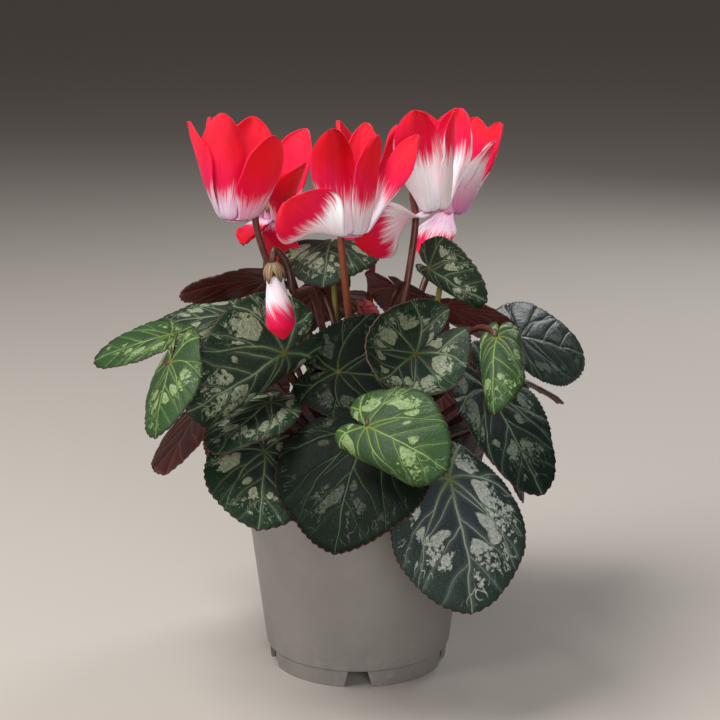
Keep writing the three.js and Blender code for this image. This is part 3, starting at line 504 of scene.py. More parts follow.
# Painted shade: a darker copy of the blade finish, for blades that lie in the shadow of the leaves
# above them
PAINTED_SHADE = blade_finish("blade_painted_shade", (
    (20, 24, 21), (14, 24, 16), (52, 64, 46), (62, 82, 56), (52, 70, 38)), 0.35, 0.52, 0.06, 0.023)
MID = blade_finish("blade_mid", (
    (38, 50, 42), (24, 46, 31), (150, 160, 130), (118, 140, 106), (78, 102, 52)), 0.7, 0.46)
FRESH = blade_finish("blade_fresh", (
    (50, 68, 44), (42, 70, 36), (136, 162, 98), (128, 156, 88), (102, 130, 54)), 0.6, 0.46)
PLAIN = blade_finish("blade_plain", (
    (40, 52, 52), (30, 48, 40), (96, 112, 102), (92, 112, 92), (80, 96, 54)), 0.4, 0.38, 0.35)
YOUNG = blade_finish("blade_young", (
    (112, 32, 40), (132, 48, 54), (168, 92, 92), (172, 88, 80), (140, 56, 46)), 0.3, 0.46)
BLADE_BACK = blade_back_finish()
BLADE_EDGE = blade_edge_finish()
# Petioles: the low colour is darkened as painted shade under the leaves. The second petiole finish is
# darker still, as painted shade for a petiole that lies in shadow
PETIOLE = stem_finish("petiole", (32, 13, 11), (84, 38, 26), 100, 170)
PETIOLE_PAINTED_SHADE = stem_finish("petiole_painted_shade", (40, 16, 14), (62, 28, 22), 90, 160)
PETIOLE_GREEN = stem_finish("petiole_green", (84, 40, 26), (126, 124, 48), 100, 160)
STALK = stem_finish("stalk", (52, 18, 14), (92, 36, 26), 90, 200)
STALK_DARK = stem_finish("stalk_dark", (40, 16, 14), (58, 26, 20), 90, 200)
STALK_TERRACOTTA = stem_finish("stalk_terracotta", (92, 38, 18), (126, 56, 26), 100, 180)
PETAL = petal_finish("petal_coral", (255, 34, 54), (196, 0, 20), (222, 10, 80), (222, 132, 180))
BUD_PETAL = petal_finish("bud_petal", (232, 6, 60), (206, 0, 40), (222, 30, 96), (226, 150, 186))
CALYX = calyx_finish("calyx", (158, 136, 100), (84, 48, 40), (66, 34, 30))


# Meshes

def grid(columns, rows, *maps):
    """A flat grid from (0, 0) to (1, 1), with empty UV maps of the given names."""
    bm = bmesh.new()
    for name in maps:
        bm.loops.layers.uv.new(name)
    bmesh.ops.create_grid(bm, x_segments=columns, y_segments=rows, size=0.5,
                          matrix=Matrix.Translation((0.5, 0.5, 0)))
    return bm


def laid(bm, name, to_map=lambda x, y: (x, y)):
    """Fills a UV map from each corner's place on the flat grid."""
    layer = bm.loops.layers.uv[name]
    for face in bm.faces:
        for loop in face.loops:
            loop[layer].uv = to_map(loop.vert.co.x, loop.vert.co.y)


def placed(name, data):
    piece = bpy.data.objects.new(name, data)
    bpy.context.scene.collection.objects.link(piece)
    return piece


def object_of(bm, name, materials, weld=0.002):
    """Closes seams, smooths, scales to metres and makes the object."""
    bmesh.ops.remove_doubles(bm, verts=bm.verts, dist=weld)
    for face in bm.faces:
        face.smooth = True
    bmesh.ops.scale(bm, vec=(MM, MM, MM), verts=bm.verts)
    mesh = bpy.data.meshes.new(name)
    bm.to_mesh(mesh)
    bm.free()
    for material in materials:
        mesh.materials.append(material)
    return placed(name, mesh)


def moved(bm, matrix):
    bmesh.ops.transform(bm, matrix=matrix, verts=bm.verts)
    return bm


def closed(bm, weld=0.001):
    """Closes seams and turns every face outwards."""
    bmesh.ops.remove_doubles(bm, verts=bm.verts, dist=weld)
    bmesh.ops.recalc_face_normals(bm, faces=bm.faces)
    return bm


def thickened(piece, thickness, back=0, rim=0):
    wall = piece.modifiers.new("thickness", "SOLIDIFY")
    wall.thickness = thickness * MM
    wall.offset = 0
    wall.material_offset = back
    wall.material_offset_rim = rim
    return piece


def joined(parts):
    """One bmesh from several, which keep their UV maps and materials."""
    whole = parts[0]
    for part in parts[1:]:
        mesh = bpy.data.meshes.new("part")
        part.to_mesh(mesh)
        part.free()
        whole.from_mesh(mesh)
        bpy.data.meshes.remove(mesh)
    return whole


def stem(points, radii, sides):
    """A closed round stem through the points, with a UV map round it and along it."""
    bm = grid(sides, len(points) - 1, "skin")
    laid(bm, "skin")
    rings = []
    across = None
    for i, point in enumerate(points):
        ahead = points[min(i + 1, len(points) - 1)]
        behind = points[max(i - 1, 0)]
        along = (ahead - behind).normalized()
        across = along.orthogonal() if across is None else across - along * across.dot(along)
        across.normalize()
        rings.append((point, across.copy(), along.cross(across), radii[i]))
    last = len(points) - 1
    for vert in bm.verts:
        point, right, left, radius = rings[round(vert.co.y * last)]
        turn = 2 * pi * vert.co.x
        vert.co = point + radius * (cos(turn) * right + sin(turn) * left)
    bmesh.ops.remove_doubles(bm, verts=bm.verts, dist=0.001)
    ends = [edge for edge in bm.edges if edge.is_boundary]
    bmesh.ops.holes_fill(bm, edges=ends, sides=0)
    bmesh.ops.recalc_face_normals(bm, faces=bm.faces)
    return bm


# Leaf lines

def polar(angle):
    return cos(radians(angle)), sin(radians(angle))


def blade_axes(leaf):
    """Along the midrib, across to the left of it, and out of the upper face."""
    h, d, r = (radians(leaf[key]) for key in ("heading", "droop", "roll"))
    along = Vector((cos(h) * cos(d), sin(h) * cos(d), -sin(d)))
    level = Vector((cos(h) * sin(d), sin(h) * sin(d), cos(d)))
    side = level.cross(along)
    return along, side * cos(r) + level * sin(r), level * cos(r) - side * sin(r)


def outline_radius(angle, leaf):
    """Outline radius at an angle from the tip, for a blade of length 1."""
    broad = leaf.get("broad", BROAD)
    widest = leaf.get("widest", WIDEST)
    turn = abs(angle)
    along, across = polar(turn)
    across /= broad

    def oval(reach):
        a = across ** 2 + (along / reach) ** 2
        b = -2 * along * widest / reach ** 2
        c = (widest / reach) ** 2 - 1
        return (-b + sqrt(b * b - 4 * a * c)) / (2 * a)

    front = oval(1 - widest)
    radius = front if front * along > widest else oval(leaf.get("back", BACK_REACH))
    radius += leaf.get("lobes", LOBE_BULGE) * exp(-(((turn - LOBE_ANGLE) / LOBE_SPREAD) ** 2))
    radius += TIP_POINT * max(0, 1 - turn / TIP_POINT_ANGLE) ** 2
    radius -= TIP_TAPER * exp(-(((turn - TIP_TAPER_ANGLE) / TIP_TAPER_SPREAD) ** 2))
    lobe_end = 180 - leaf.get("slit", SLIT_HALF_ANGLE) - LOBE_ROUNDING
    if turn > lobe_end:
        radius *= sqrt(1 - 0.65 * ((turn - lobe_end) / LOBE_ROUNDING) ** 2)
    return radius


def hemmed(leaf, v):
    """Distance across and lift of a point on a blade whose margin is rolled on one side."""
    if "hem" not in leaf:
        return v, 0
    side, share, roll = leaf["hem"]
    half = leaf.get("broad", BROAD) * leaf["length"]
    start = share * half
    if v * side < start:
        return v, 0
    bend = radians(roll) / (half - start)
    beyond = v * side - start
    return side * (start + sin(bend * beyond) / bend), (cos(bend * beyond) - 1) / bend


def blade_point(leaf, axes, u, v, extra=0.0):
    """Point of the blade's middle surface, u along the midrib and v across it, raised by extra."""
    length = leaf["length"]
    half = leaf.get("broad", BROAD) * length
    reach = hypot(u, v) / length
    ripple = BLADE_RIPPLE * length * reach ** 2 * sin(3 * atan2(v, u))
    flat_side, hem_lift = hemmed(leaf, v)
    lift = ripple + hem_lift + extra
    across_turn = radians(leaf.get("cup", BLADE_CUP)) / half
    along_turn = radians(leaf.get("curl", BLADE_CURL)) / length
    bent = across_turn * flat_side
    twisted = radians(leaf.get("twist", 0)) * -u / length
    flat_across, flat_rise = flat_side, lift
    if across_turn:
        flat_across = sin(bent) / across_turn - lift * sin(bent)
        flat_rise = (1 - cos(bent)) / across_turn + lift * cos(bent)
    side = flat_across * cos(twisted) - flat_rise * sin(twisted)
    rise = flat_across * sin(twisted) + flat_rise * cos(twisted)
    turned = along_turn * u
    forward = sin(turned) / along_turn + rise * sin(turned)
    height = rise * cos(turned) - (1 - cos(turned)) / along_turn
    along, across, up = axes
    return Vector(leaf["at"]) + along * forward + across * side + up * height


def fan_angle(share, slit):
    t = 2 * share - 1
    return (180 - slit) * t * (LOBE_CROWDING - (LOBE_CROWDING - 1) * t * t)


def wave(x, y, z):
    return noise.noise(Vector((x, y, z)))


def drift(u, v, seed):
    """Noise in two directions at a place on a blade."""
    return Vector([wave(u, v, seed + away) for away in (0, 40)])


def blade(leaf, seed):
    """A toothed blade, puckered between its veins, as a sheet of one layer."""
    axes = blade_axes(leaf)
    length = leaf["length"]
    slit = leaf.get("slit", SLIT_HALF_ANGLE)
    teeth = round(TEETH_PER_MM * length)
    bm = grid(teeth * COLUMNS_PER_TOOTH, BLADE_RINGS, "rings", "flat")
    laid(bm, "rings")

    def flat_point(x, y):
        angle = fan_angle(1 - x, slit)
        uneven = MARGIN_UNEVEN * wave(angle / 24, seed, 0)
        radius = length * (outline_radius(angle, leaf) + uneven) * y
        if y > 0.999:
            radius += TOOTH_DEPTH * (1 - 2.6 * abs((teeth * x + 0.01) % 1.0 - 0.62))
        along, across = polar(angle)
        return radius * along, radius * across

    def wandered(x, y):
        u, v = flat_point(x, y)
        slow = drift(u / 11, v / 11, seed) * WANDER
        along, across = slow + drift(u / 4, v / 4, seed + 7) * FINE_WANDER
        reach = min(1, hypot(u, v) / (0.5 * length))
        return u / length + along * reach, v / length + across * reach

    def flat_map(x, y):
        along, across = wandered(x, y)
        return FLAT_ORIGIN + FLAT_SCALE * along, 0.5 + FLAT_SCALE * across

    laid(bm, "flat", flat_map)
    for vert in bm.verts:
        x, y = vert.co.x, vert.co.y
        u, v = flat_point(x, y)
        sunk = exp(-((vein_field(*wandered(x, y))[0] / VEIN_GROOVE) ** 2))
        crinkle = CRINKLE * wave(u / 9, v / 9, seed + 3) * y
        waved = CRINKLE * wave(u / 16, v / 16, seed + 5) * y * y
        vert.co = blade_point(leaf, axes, u, v, crinkle + waved - VEIN_SINK * sunk * min(1, 3 * y))
    return bm


def tuber_height(radius):
    return TUBER_MIDDLE + TUBER_HALF * sqrt(max(0, 1 - (radius / TUBER_RADIUS) ** 2))


def root_of(ring, bearing, lean):
    """Start and direction of a stem on the tuber, sunk a little into it."""
    out = Vector((*polar(bearing), 0))
    direction = (out * lean + UP).normalized()
    start = out * ring + UP * tuber_height(ring)
    return start - direction * ROOT_DEPTH, direction


def bezier(ends, count):
    a, b, c, d = ends
    points = []
    for i in range(count + 1):
        t = i / count
        s = 1 - t
        points.append(a * s ** 3 + b * 3 * s * s * t + c * 3 * s * t * t + d * t ** 3)
    return points


def petiole(leaf):
    along, across, up = blade_axes(leaf)
    start, direction = root_of(*leaf["root"])
    end = Vector(leaf["at"])
    span = (end - start).length
    last = end - along * PETIOLE_BEHIND * span - up * PETIOLE_BELOW * span
    if "by" in leaf:
        last = Vector(leaf["by"])
    points = bezier((start, start + direction * PETIOLE_LAUNCH * span, last, end), PETIOLE_STEPS)
    shares = [i / PETIOLE_STEPS for i in range(PETIOLE_STEPS + 1)]
    radii = [PETIOLE_RADIUS * (1.06 - 0.12 * share - 3 * max(0, share - 0.9)) for share in shares]
    return stem(points, radii, PETIOLE_SIDES)


# Bloom lines

def bloom_frame(bloom):
    tilt, toward = bloom.get("tilt", 0), bloom.get("toward", 0)
    out, up = sin(radians(tilt)), cos(radians(tilt))
    x, y = polar(toward)
    turn = UP.rotation_difference(Vector((out * x, out * y, up)))
    return Matrix.Translation(bloom["at"]) @ turn.to_matrix().to_4x4()


def arc_step(start, end, length, part):
    turned = start + (end - start) * part
    bend = (end - start) / length
    if abs(bend) < 1e-6:
        return cos(start) * length * part, sin(start) * length * part
    return (sin(turned) - sin(start)) / bend, (cos(start) - cos(turned)) / bend


def petal_spine(petal, s):
    length = petal.get("length", PETAL_LENGTH)
    rise = radians(petal["rise"])
    flared = radians(petal["rise"] - petal["flare"])
    part = s * length
    out_a, up_a = arc_step(radians(PETAL_ROOT_DIP), rise, PETAL_TURN, min(1, part / PETAL_TURN))
    rest = length - PETAL_TURN
    out_b, up_b = arc_step(rise, flared, rest, max(0, part - PETAL_TURN) / rest)
    x, y = polar(petal["azimuth"])
    out = MOUTH_RADIUS - PETAL_ROOT_INSET + out_a + out_b
    return Vector((out * x, out * y, PETAL_ROOT_INSET + up_a + up_b))


def petal_profile(s):
    """Half width of a petal at s, for a petal of full width 2."""
    if s < PETAL_WIDEST:
        swell = sin(0.5 * pi * max(0, s) / PETAL_WIDEST) ** PETAL_SWELL
        return PETAL_ROOT_SHARE + (1 - PETAL_ROOT_SHARE) * swell
    past = (s - PETAL_WIDEST) / (1 - PETAL_WIDEST)
    return sqrt(max(PETAL_TIP_SHARE, 1 - past ** PETAL_SHOULDER))


def row_share(y):
    """Place along a petal of a row of the grid: the rows crowd towards the tip."""
    return 1 - (1 - y) ** PETAL_CROWDING


def petal_sheet(petal, zone, seed):
    """A petal from the mouth's rim to its tip, with a soft keel and a faintly ruffled margin."""
    bm = grid(PETAL_COLUMNS, PETAL_ROWS, "petal", "zone", "tone")
    # The tone map carries each petal's share of painted shade
    laid(bm, "tone", lambda x, y: (petal.get("deep", 0), 0))
    laid(bm, "petal", lambda x, y: (x, row_share(y)))
    laid(bm, "zone", lambda x, y: petal.get("zone", zone))
    step = 0.01
    azimuth = radians(petal["azimuth"])
    level = Vector((-sin(azimuth), cos(azimuth), 0))
    bend = radians(petal.get("cup", PETAL_CUP))
    width = petal.get("width", PETAL_WIDTH)
    for vert in bm.verts:
        across = 2 * vert.co.x - 1
        s = row_share(vert.co.y)
        middle = petal_spine(petal, s)
        tangent = (petal_spine(petal, s + step) - petal_spine(petal, s - step)).normalized()
        inward = -level.cross(tangent).normalized()
        side = -inward.cross(tangent).normalized()
        share = min(1, max(0, (s - 0.02) / 0.68))
        turn = Quaternion(tangent, radians(petal["twist"]) * share * share * (3 - 2 * share))
        side = turn @ side
        inward = turn @ inward
        half = 0.5 * width * petal_profile(s)
        keel = KEEL_HEIGHT * exp(-((across / KEEL_WIDTH) ** 2)) * (1 - s)
        ruffle = RUFFLE * across * across * s * wave(s * 3.4, 2 * across, seed)
        ripple = RIPPLE * wave(s * 4, across * 2.2, seed + 4) * s
        vert.co = (middle
                   + side * (half * sin(bend * across) / bend)
                   + inward * (half * (1 - cos(bend * across)) / bend + keel + ruffle + ripple)
                   - tangent * TIP_SETBACK * half * abs(across) ** 3 * s)
    return bm


def lathed(profile, steps, maps):
    """A surface of revolution through the profile, as an open sheet."""
    bm = grid(steps, len(profile) - 1, *maps)
    last = len(profile) - 1
    for vert in bm.verts:
        radius, height = profile[round(vert.co.y * last)]
        turn = 2 * pi * vert.co.x
        vert.co = (radius * cos(turn), radius * sin(turn), height)
    return bm


def corolla(bloom, seed):
    """The short tube and the five petals that turn back from its mouth."""
    tube = lathed([
        (TUBE_TOP_RADIUS * 0.3, TUBE_HEIGHT),
        (TUBE_TOP_RADIUS * 0.8, TUBE_HEIGHT),
        (TUBE_TOP_RADIUS, TUBE_HEIGHT * 0.85),
        (MOUTH_RADIUS * 0.86, TUBE_HEIGHT * 0.4),
        (MOUTH_RADIUS * 0.9, 1.0),
        (MOUTH_RADIUS * 0.98, 0.0),
        (MOUTH_RADIUS * 1.1, -0.1),
    ], 40, ("petal", "zone", "tone"))
    laid(tube, "zone", lambda x, y: bloom["zone"])
    layer = tube.loops.layers.uv["petal"]
    for face in tube.faces:
        for loop in face.loops:
            turn = atan2(loop.vert.co.y, loop.vert.co.x) / (2 * pi) + 0.5
            loop[layer].uv = (turn, 0.02)
    petals = [petal_sheet(petal, bloom["zone"], seed + i) for i, petal in enumerate(bloom["petals"])]
    return moved(joined([tube, *petals]), bloom_frame(bloom))


def catmull(points, count):
    """A smooth line through the points, even in speed past near and far ones."""
    ends = [points[0] * 2 - points[1], *points, points[-1] * 2 - points[-2]]
    line = []
    for i in range(1, len(points)):
        a, b, c, d = ends[i - 1:i + 3]
        gaps = [max(1e-3, (q - p).length ** 0.5) for p, q in ((a, b), (b, c), (c, d))]
        out = ((b - a) / gaps[0] - (c - a) / (gaps[0] + gaps[1]) + (c - b) / gaps[1]) * gaps[1]
        into = ((c - b) / gaps[1] - (d - b) / (gaps[1] + gaps[2]) + (d - c) / gaps[2]) * gaps[1]
        steps = max(2, round((c - b).length / count))
        for k in range(steps):
            t = k / steps
            line.append(b + out * t + (c * 3 - b * 3 - out * 2 - into) * t * t
                        + (b * 2 - c * 2 + out + into) * t ** 3)
    return line + [points[-1]]


def sepals(length, radius, spread, seat):
    """Five pointed sepals that hang from the calyx's top round a tube or bud."""
    parts = []
    for i in range(5):
        bm = grid(8, 14, "skin")
        laid(bm, "skin")
        middle = radians(72 * i + 20)
        for vert in bm.verts:
            across, along = 2 * vert.co.x - 1, vert.co.y
            width = radians(40) * (1 - along ** 1.8) + 0.001
            swell = sin(0.5 * pi * min(1, along * 2.2)) ** 0.7
            out = 1.2 + (radius - 1.2) * swell + spread * along ** 3 + 0.25 * (1 - across * across)
            turn = middle + across * width
            height = seat - length * along + 0.6 * (1 - swell)
            vert.co = (out * cos(turn), out * sin(turn), height)
        parts.append(bm)
    return joined(parts)


def stalk(bloom, hook):
    start, direction = root_of(*bloom["root"])
    frame_at = bloom_frame(bloom)
    x, y = polar(bloom["side"])
    hooked = [frame_at @ Vector((out * x, out * y, up)) for out, up in hook]
    via = [Vector(point) for point in bloom.get("via", ())]
    points = catmull([start, start + direction * STALK_RISE, *via, *hooked], STALK_SPACING)
    last = len(points) - 1
    radii = [STALK_RADIUS * (1.05 - 0.22 * i / last) for i in range(last + 1)]
    return stem(points, radii, STALK_SIDES)


def bud_petals(bud):
    """Petals still rolled into a twisted spindle that hangs from the calyx."""
    rows = 40
    bm = grid(60, rows, "petal", "zone", "tone")
    laid(bm, "petal", lambda x, y: ((5 * x) % 1.0 if x < 1 else 1.0, y))
    laid(bm, "zone", lambda x, y: BUD_ZONE)
    for vert in bm.verts:
        s = vert.co.y
        turn = 2 * pi * (vert.co.x + BUD_TURNS * s)
        swell = sin(pi * s ** BUD_LOWER_SWELL)
        radius = BUD_RADIUS * (BUD_NECK + (1 - BUD_NECK) * swell) * min(1, 5 * (1 - s)) ** 0.5
        overlap = (5 * vert.co.x) % 1.0
        radius *= 1 + BUD_OVERLAP * (overlap - 0.5) * min(1, 6 * s)
        if s < 0.001:
            radius = 0
        vert.co = (radius * cos(turn), radius * sin(turn), -s * BUD_LENGTH)
    return closed(moved(bm, bloom_frame(bud)), 0.002)


# The plant: where the petiole meets the blade, heading, droop, roll, length, root and finish

def leaf(name, at, heading, droop, roll, length, root, upper=MID, **more):
    return {"name": name, "at": at, "heading": heading, "droop": droop, "roll": roll, "length": length,
            "root": root, "upper": upper, **more}


LEAVES = [
    leaf("left_flat", (-73.2, -30, 144.5), 172, 13, -17, 32.5, (16, -172, 1.0), FRESH,
         by=(-66, -38, 118), broad=0.4, back=0.62, lobes=0.06, curl=16, cup=-2, twist=18),
    leaf("left_bright", (-69.4, -62, 141), -109, 48, 32, 29, (17, -157, 1.0), FRESH,
         by=(-84, -42, 138), broad=0.57, back=0.83, curl=11, cup=-33, twist=5),
    leaf("left_back_upper", (-39, 21, 157), -157, -4, 30, 37, (12, 165, 0.5)),
    leaf("left_back", (-54, 27, 140), 171, 2, -20, 38, (17, 152, 0.8)),
    leaf("front_left", (-28.3, -46, 141), -136, 19, -74, 46, (13, -125, 0.6),
         broad=0.56, widest=0.1, back=0.54, curl=7, cup=-11, lobes=0.04, slit=2, hem=(1, 0.02, 140)),
    leaf("front_left_dark", (-34, -40, 120), -124, 10, 0, 35, (18, -139, 1.1)),
    leaf("left_red", (-61, -4, 113), 152, 48, 0, 42, (20, 172, 1.2)),
    leaf("low_left", (-35.5, -50, 103), -91, 34, -16, 34, (21, -120, 1.3),
         broad=0.66, curl=9, cup=-7),
    leaf("low_front", (2, -61, 113), -112, 42, 2, 46, (20, -92, 1.1), PAINTED_SHADE,
         broad=0.67, slit=24, cup=-9, hem=(-1, 0.61, -50)),
    leaf("front_bright", (3.5, -83.2, 122.6), -47, 5, 49, 35, (17, -80, 0.8), FRESH,
         by=(5, -62, 137), broad=0.58, curl=39, cup=-3, back=0.72, hem=(-1, 0.24, 149)),
    leaf("front_round", (21.7, -46.5, 140.8), -140, 25, -54, 33, (15, -64, 1.1),
         by=(23, -54, 98), slit=1, broad=0.76, back=1.03, lobes=0.04, curl=-61, cup=73),
    leaf("front_dark", (-7.5, -37, 131.5), -8, 2, 58, 40, (13, -100, 0.5), PAINTED_SHADE, cup=25,
         broad=0.6, back=0.72, slit=4),
    leaf("low_right", (34.2, -65, 97), -63, 53, 1, 50, (21, -62, 1.3), SLATE_PAINTED_LIGHT,
         broad=0.57, widest=0.44, curl=31, cup=-13),
    leaf("right_dark", (49.9, -40, 125.6), -45, 48, 2, 45, (18, -38, 0.9), DARK,
         broad=0.47, widest=0.25, curl=8, cup=5),
    leaf("right_folded", (52, -54, 149), -102, 26, 11, 33, (16, -50, 0.8), FRESH,
         stem=PETIOLE_PAINTED_SHADE, by=(44, -24, 160), slit=2, broad=0.44, curl=38, cup=-101, twist=-27),
    leaf("right_glossy", (69.5, 36, 129), 34, 12, 45, 43, (17, 27, 0.8), PLAIN),
    leaf("right_back", (60, 6, 121), 34, 20, 0, 34, (20, 8, 1.1), DARK),
    leaf("upper_rolled", (28.5, -9, 167), -57, 15, 77, 30, (9, -25, 0.4), stem=PETIOLE_GREEN,
         lobes=0.07, broad=0.54, curl=28, cup=27, hem=(-1, 0.02, 190)),
    leaf("upper_cupped", (-11, 18, 173), -97, 4, 0, 30, (8, 125, 0.2), stem=PETIOLE_GREEN,
         curl=45, broad=0.7),
    leaf("right_under", (36, 13, 147), 6, 8, -30, 30, (11, 14, 0.5)),
    leaf("young_red", (2.6, -22, 153.5), -60, 50, 0, 10, (8, -70, 0.3), YOUNG, cup=70),
    leaf("low_side_right", (57, -12, 104), -4, 62, 0, 34, (22, -12, 1.3), DARK),
    leaf("low_back_right", (61.5, 28, 101), 22, 62, 0, 42, (22, 22, 1.3)),
    leaf("low_back", (36, 66, 100), 60, 62, 0, 44, (22, 58, 1.3), DARK),
    leaf("low_back_middle", (-8, 75, 100), 97, 60, 0, 46, (22, 97, 1.3)),
    leaf("low_back_left", (-46, 54, 101), 134, 58, 0, 46, (22, 133, 1.3), DARK),
    leaf("back_right", (48, 54, 117), 46, 42, 0, 40, (18, 44, 1.0)),
    leaf("back", (8, 71.5, 124), 86, 42, 0, 43, (18, 82, 1.0), DARK),
    leaf("back_left", (-38, 52, 122), 122, 40, 0, 44, (18, 124, 1.0)),
    leaf("high_back_right", (36, 50, 142), 52, 26, 0, 36, (14, 50, 0.7)),
    leaf("high_back", (-10, 46, 146), 100, 22, 0, 34, (13, 100, 0.6), DARK),
]

# Blades far inside the crown, seen only as dark shapes between the stalks: dark blades that fill the
# gaps there, partly hidden leaves and partly painted shade of the crown's inside
INNER_LEAVES = [
    leaf("inner_right", (17, 20, 153), 48, 40, 0, 38, (6, 50, 0.3), DARK),
    leaf("inner_left", (-16, 24, 153), 128, 40, 0, 36, (6, 130, 0.3), DARK),
    leaf("inner_low", (-13, 3, 131), 168, 46, 0, 34, (9, 175, 0.3), PAINTED_SHADE),
]


def petal(azimuth, rise, flare, twist, **more):
    return {"azimuth": azimuth, "rise": rise, "flare": flare, "twist": twist, **more}


def flower(name, at, side, root, **more):
    """A bloom or bud: where its mouth is, the bearing of its stalk's hook, and its root."""
    return {"name": name, "at": at, "side": side, "root": root, **more}


# Petals given a painted-shade share have their red painted darker, as painted shade for petals that
# lie in shadow
BLOOMS = [
    flower("bloom_left", (-48, -6, 186), 12, (8, -160, 0.3), zone=(0.27, 0.55), petals=[
        petal(-42, 61, -15, 5, length=40, width=26, cup=17, deep=0.6),
        petal(-122, 80, -18, 27, length=45, width=21, cup=54),
        petal(-180, 65, -19, 16),
        petal(130, 70, -10, 25),
        petal(70, 70, -10, 25)]),
    flower("bloom_left_back", (-35, 26, 180.5), 98, (9, 152, 0.3), via=((-26.5, 31.5, 151),),
           zone=(0.20, 0.5), petals=[
        petal(44, 76, 8, 2, length=41, width=25),
        petal(-64, 49, 2, 29, length=39, width=20, cup=58, deep=0.8),
        petal(-80, -50, -6, -20, length=22, width=17, deep=0.3),
        petal(-128, -32, -8, 14, length=17, width=18, deep=0.7),
        petal(146, 68, -10, 25)]),
    flower("bloom_front", (-3, -19, 182), 118, (5, -80, 0.2), stem=STALK_TERRACOTTA,
           zone=(0.38, 0.25), petals=[
        petal(62, 80, -3, 10, length=45, width=15),
        petal(10, 58, -8, 25, length=46, width=18),
        petal(-51, 70, -12, 18, length=44, width=18, deep=0.6),
        petal(-113, 76, -3, 39, length=46, width=22, cup=70, deep=0.9),
        petal(-146, 30, -12, 62, length=30, width=29, cup=14, zone=(0.50, 0.1))]),
    flower("bloom_right", (30.5, 9.5, 187.1), 165, (6, -10, 0.3), tilt=8, toward=180,
           zone=(0.56, 0.1), petals=[
        petal(90, 72, -6, 25),
        petal(30, 68, -10, 25),
        petal(-35, 74, -6, 25, width=18),
        petal(-102, 82, 0, 30, length=45, width=22, deep=0.35),
        petal(-152, -5, 10, 78, length=34, width=25, cup=-20, zone=(0.50, 0.3), deep=0.5)]),
    flower("bloom_far_right", (39.5, 42, 181.4), 108, (7, 40, 0.3), zone=(0.44, 0.7), petals=[
        petal(52, 72, -6, 25),
        petal(2, 66, -10, 25),
        petal(-50, 57, -4, 30, length=40, width=24, cup=55, zone=(0.85, 1.0)),
        petal(-98, 80, 0, 10, length=46, width=20, cup=60),
        petal(-116, -46, -12, 0, length=27, width=20, zone=(0.52, 0.6))]),
    flower("bloom_back", (6, 52, 180), 80, (6, 80, 0.3), zone=(0.36, 0.4), petals=[
        petal(10, 68, -8, 25),
        petal(-48, 70, -8, 25),
        petal(-106, -42, -8, 20, length=30),
        petal(-164, -8, 2, 30, length=38, zone=(0.2, 0.2), deep=0.6),
        petal(136, 66, -8, 25)]),
]

BUDS = [
    flower("bud_front", (-31, -55, 173.3), 30, (8, -120, 0.4), tilt=8, toward=165,
           via=((-14, -25, 147), (-18, -39, 164))),
    flower("bud_back", (-36, 66, 160), -120, (14, 125, 0.4), tilt=10, toward=40),
]


def keep(piece, slot, *nodes):
    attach(piece, "root")
    if nodes:
        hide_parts(*nodes)
    return piece


def make_leaves():
    for index, one in enumerate(LEAVES + INNER_LEAVES):
        name = f"leaf_{one['name']}"
        nodes = [] if one in INNER_LEAVES else [name]
        materials = [one["upper"], BLADE_BACK, BLADE_EDGE]
        sheet = object_of(blade(one, 11.3 * index), f"{name}_blade", materials)
        keep(thickened(sheet, BLADE_THICKNESS, 1, 2), "leaf", *nodes)
        keep(object_of(petiole(one), f"{name}_petiole", [one.get("stem", PETIOLE)]), "leaf")


def make_stalk(flower, hook, finish, cup, cup_wall):
    """The hooked stalk of a bloom or bud, and its calyx."""
    name = flower["name"]
    keep(object_of(stalk(flower, hook), f"{name}_stem", [finish]), "stalk", f"{name}_stalk")
    calyx = moved(sepals(*cup), bloom_frame(flower))
    keep(thickened(object_of(calyx, f"{name}_calyx", [CALYX]), cup_wall), "stalk")


def make_flowers():
    for index, bloom in enumerate(BLOOMS):
        name = bloom["name"]
        sheet = object_of(corolla(bloom, 17.0 * index), f"{name}_corolla", [PETAL], PETAL_WELD)
        keep(thickened(sheet, PETAL_THICKNESS), "petal", f"{name}_petals")
        make_stalk(bloom, HOOK_LINE, bloom.get("stem", STALK), BLOOM_SEPALS, CALYX_WALL)
    for bud in BUDS:
        body = object_of(bud_petals(bud), f"{bud['name']}_corolla", [BUD_PETAL])
        keep(body, "petal", f"{bud['name']}_petals")
        make_stalk(bud, BUD_HOOK_LINE, STALK_DARK, BUD_SEPALS, BUD_CALYX_WALL)


# Pot, compost and tuber

def spun(profile, steps):
    """A closed solid of revolution from a closed profile of (radius, height) points on the axis."""
    bm = bmesh.new()
    verts = [bm.verts.new((radius, 0, height)) for radius, height in profile]
    edges = [bm.edges.new(pair) for pair in zip(verts, verts[1:])]
    bmesh.ops.spin(bm, geom=verts + edges, cent=(0, 0, 0), axis=(0, 0, 1), angle=2 * pi,
                   steps=steps, use_merge=True, use_duplicate=False)
    return closed(bm)


def rounded(corners, radius):
    """A profile whose inner corners are cut into short arcs of about the given radius."""
    points = [corners[0]]
    for before, here, after in zip(corners, corners[1:], corners[2:]):
        a, b, c = (Vector(p) for p in (before, here, after))
        size = min(radius, 0.45 * (a - b).length, 0.45 * (c - b).length)
        start = b + (a - b).normalized() * size
        end = b + (c - b).normalized() * size
        for t in (0.0, 0.3, 0.7, 1.0):
            points.append(tuple(start * (1 - t) ** 2 + b * 2 * t * (1 - t) + end * t * t))
    return points + [corners[-1]]


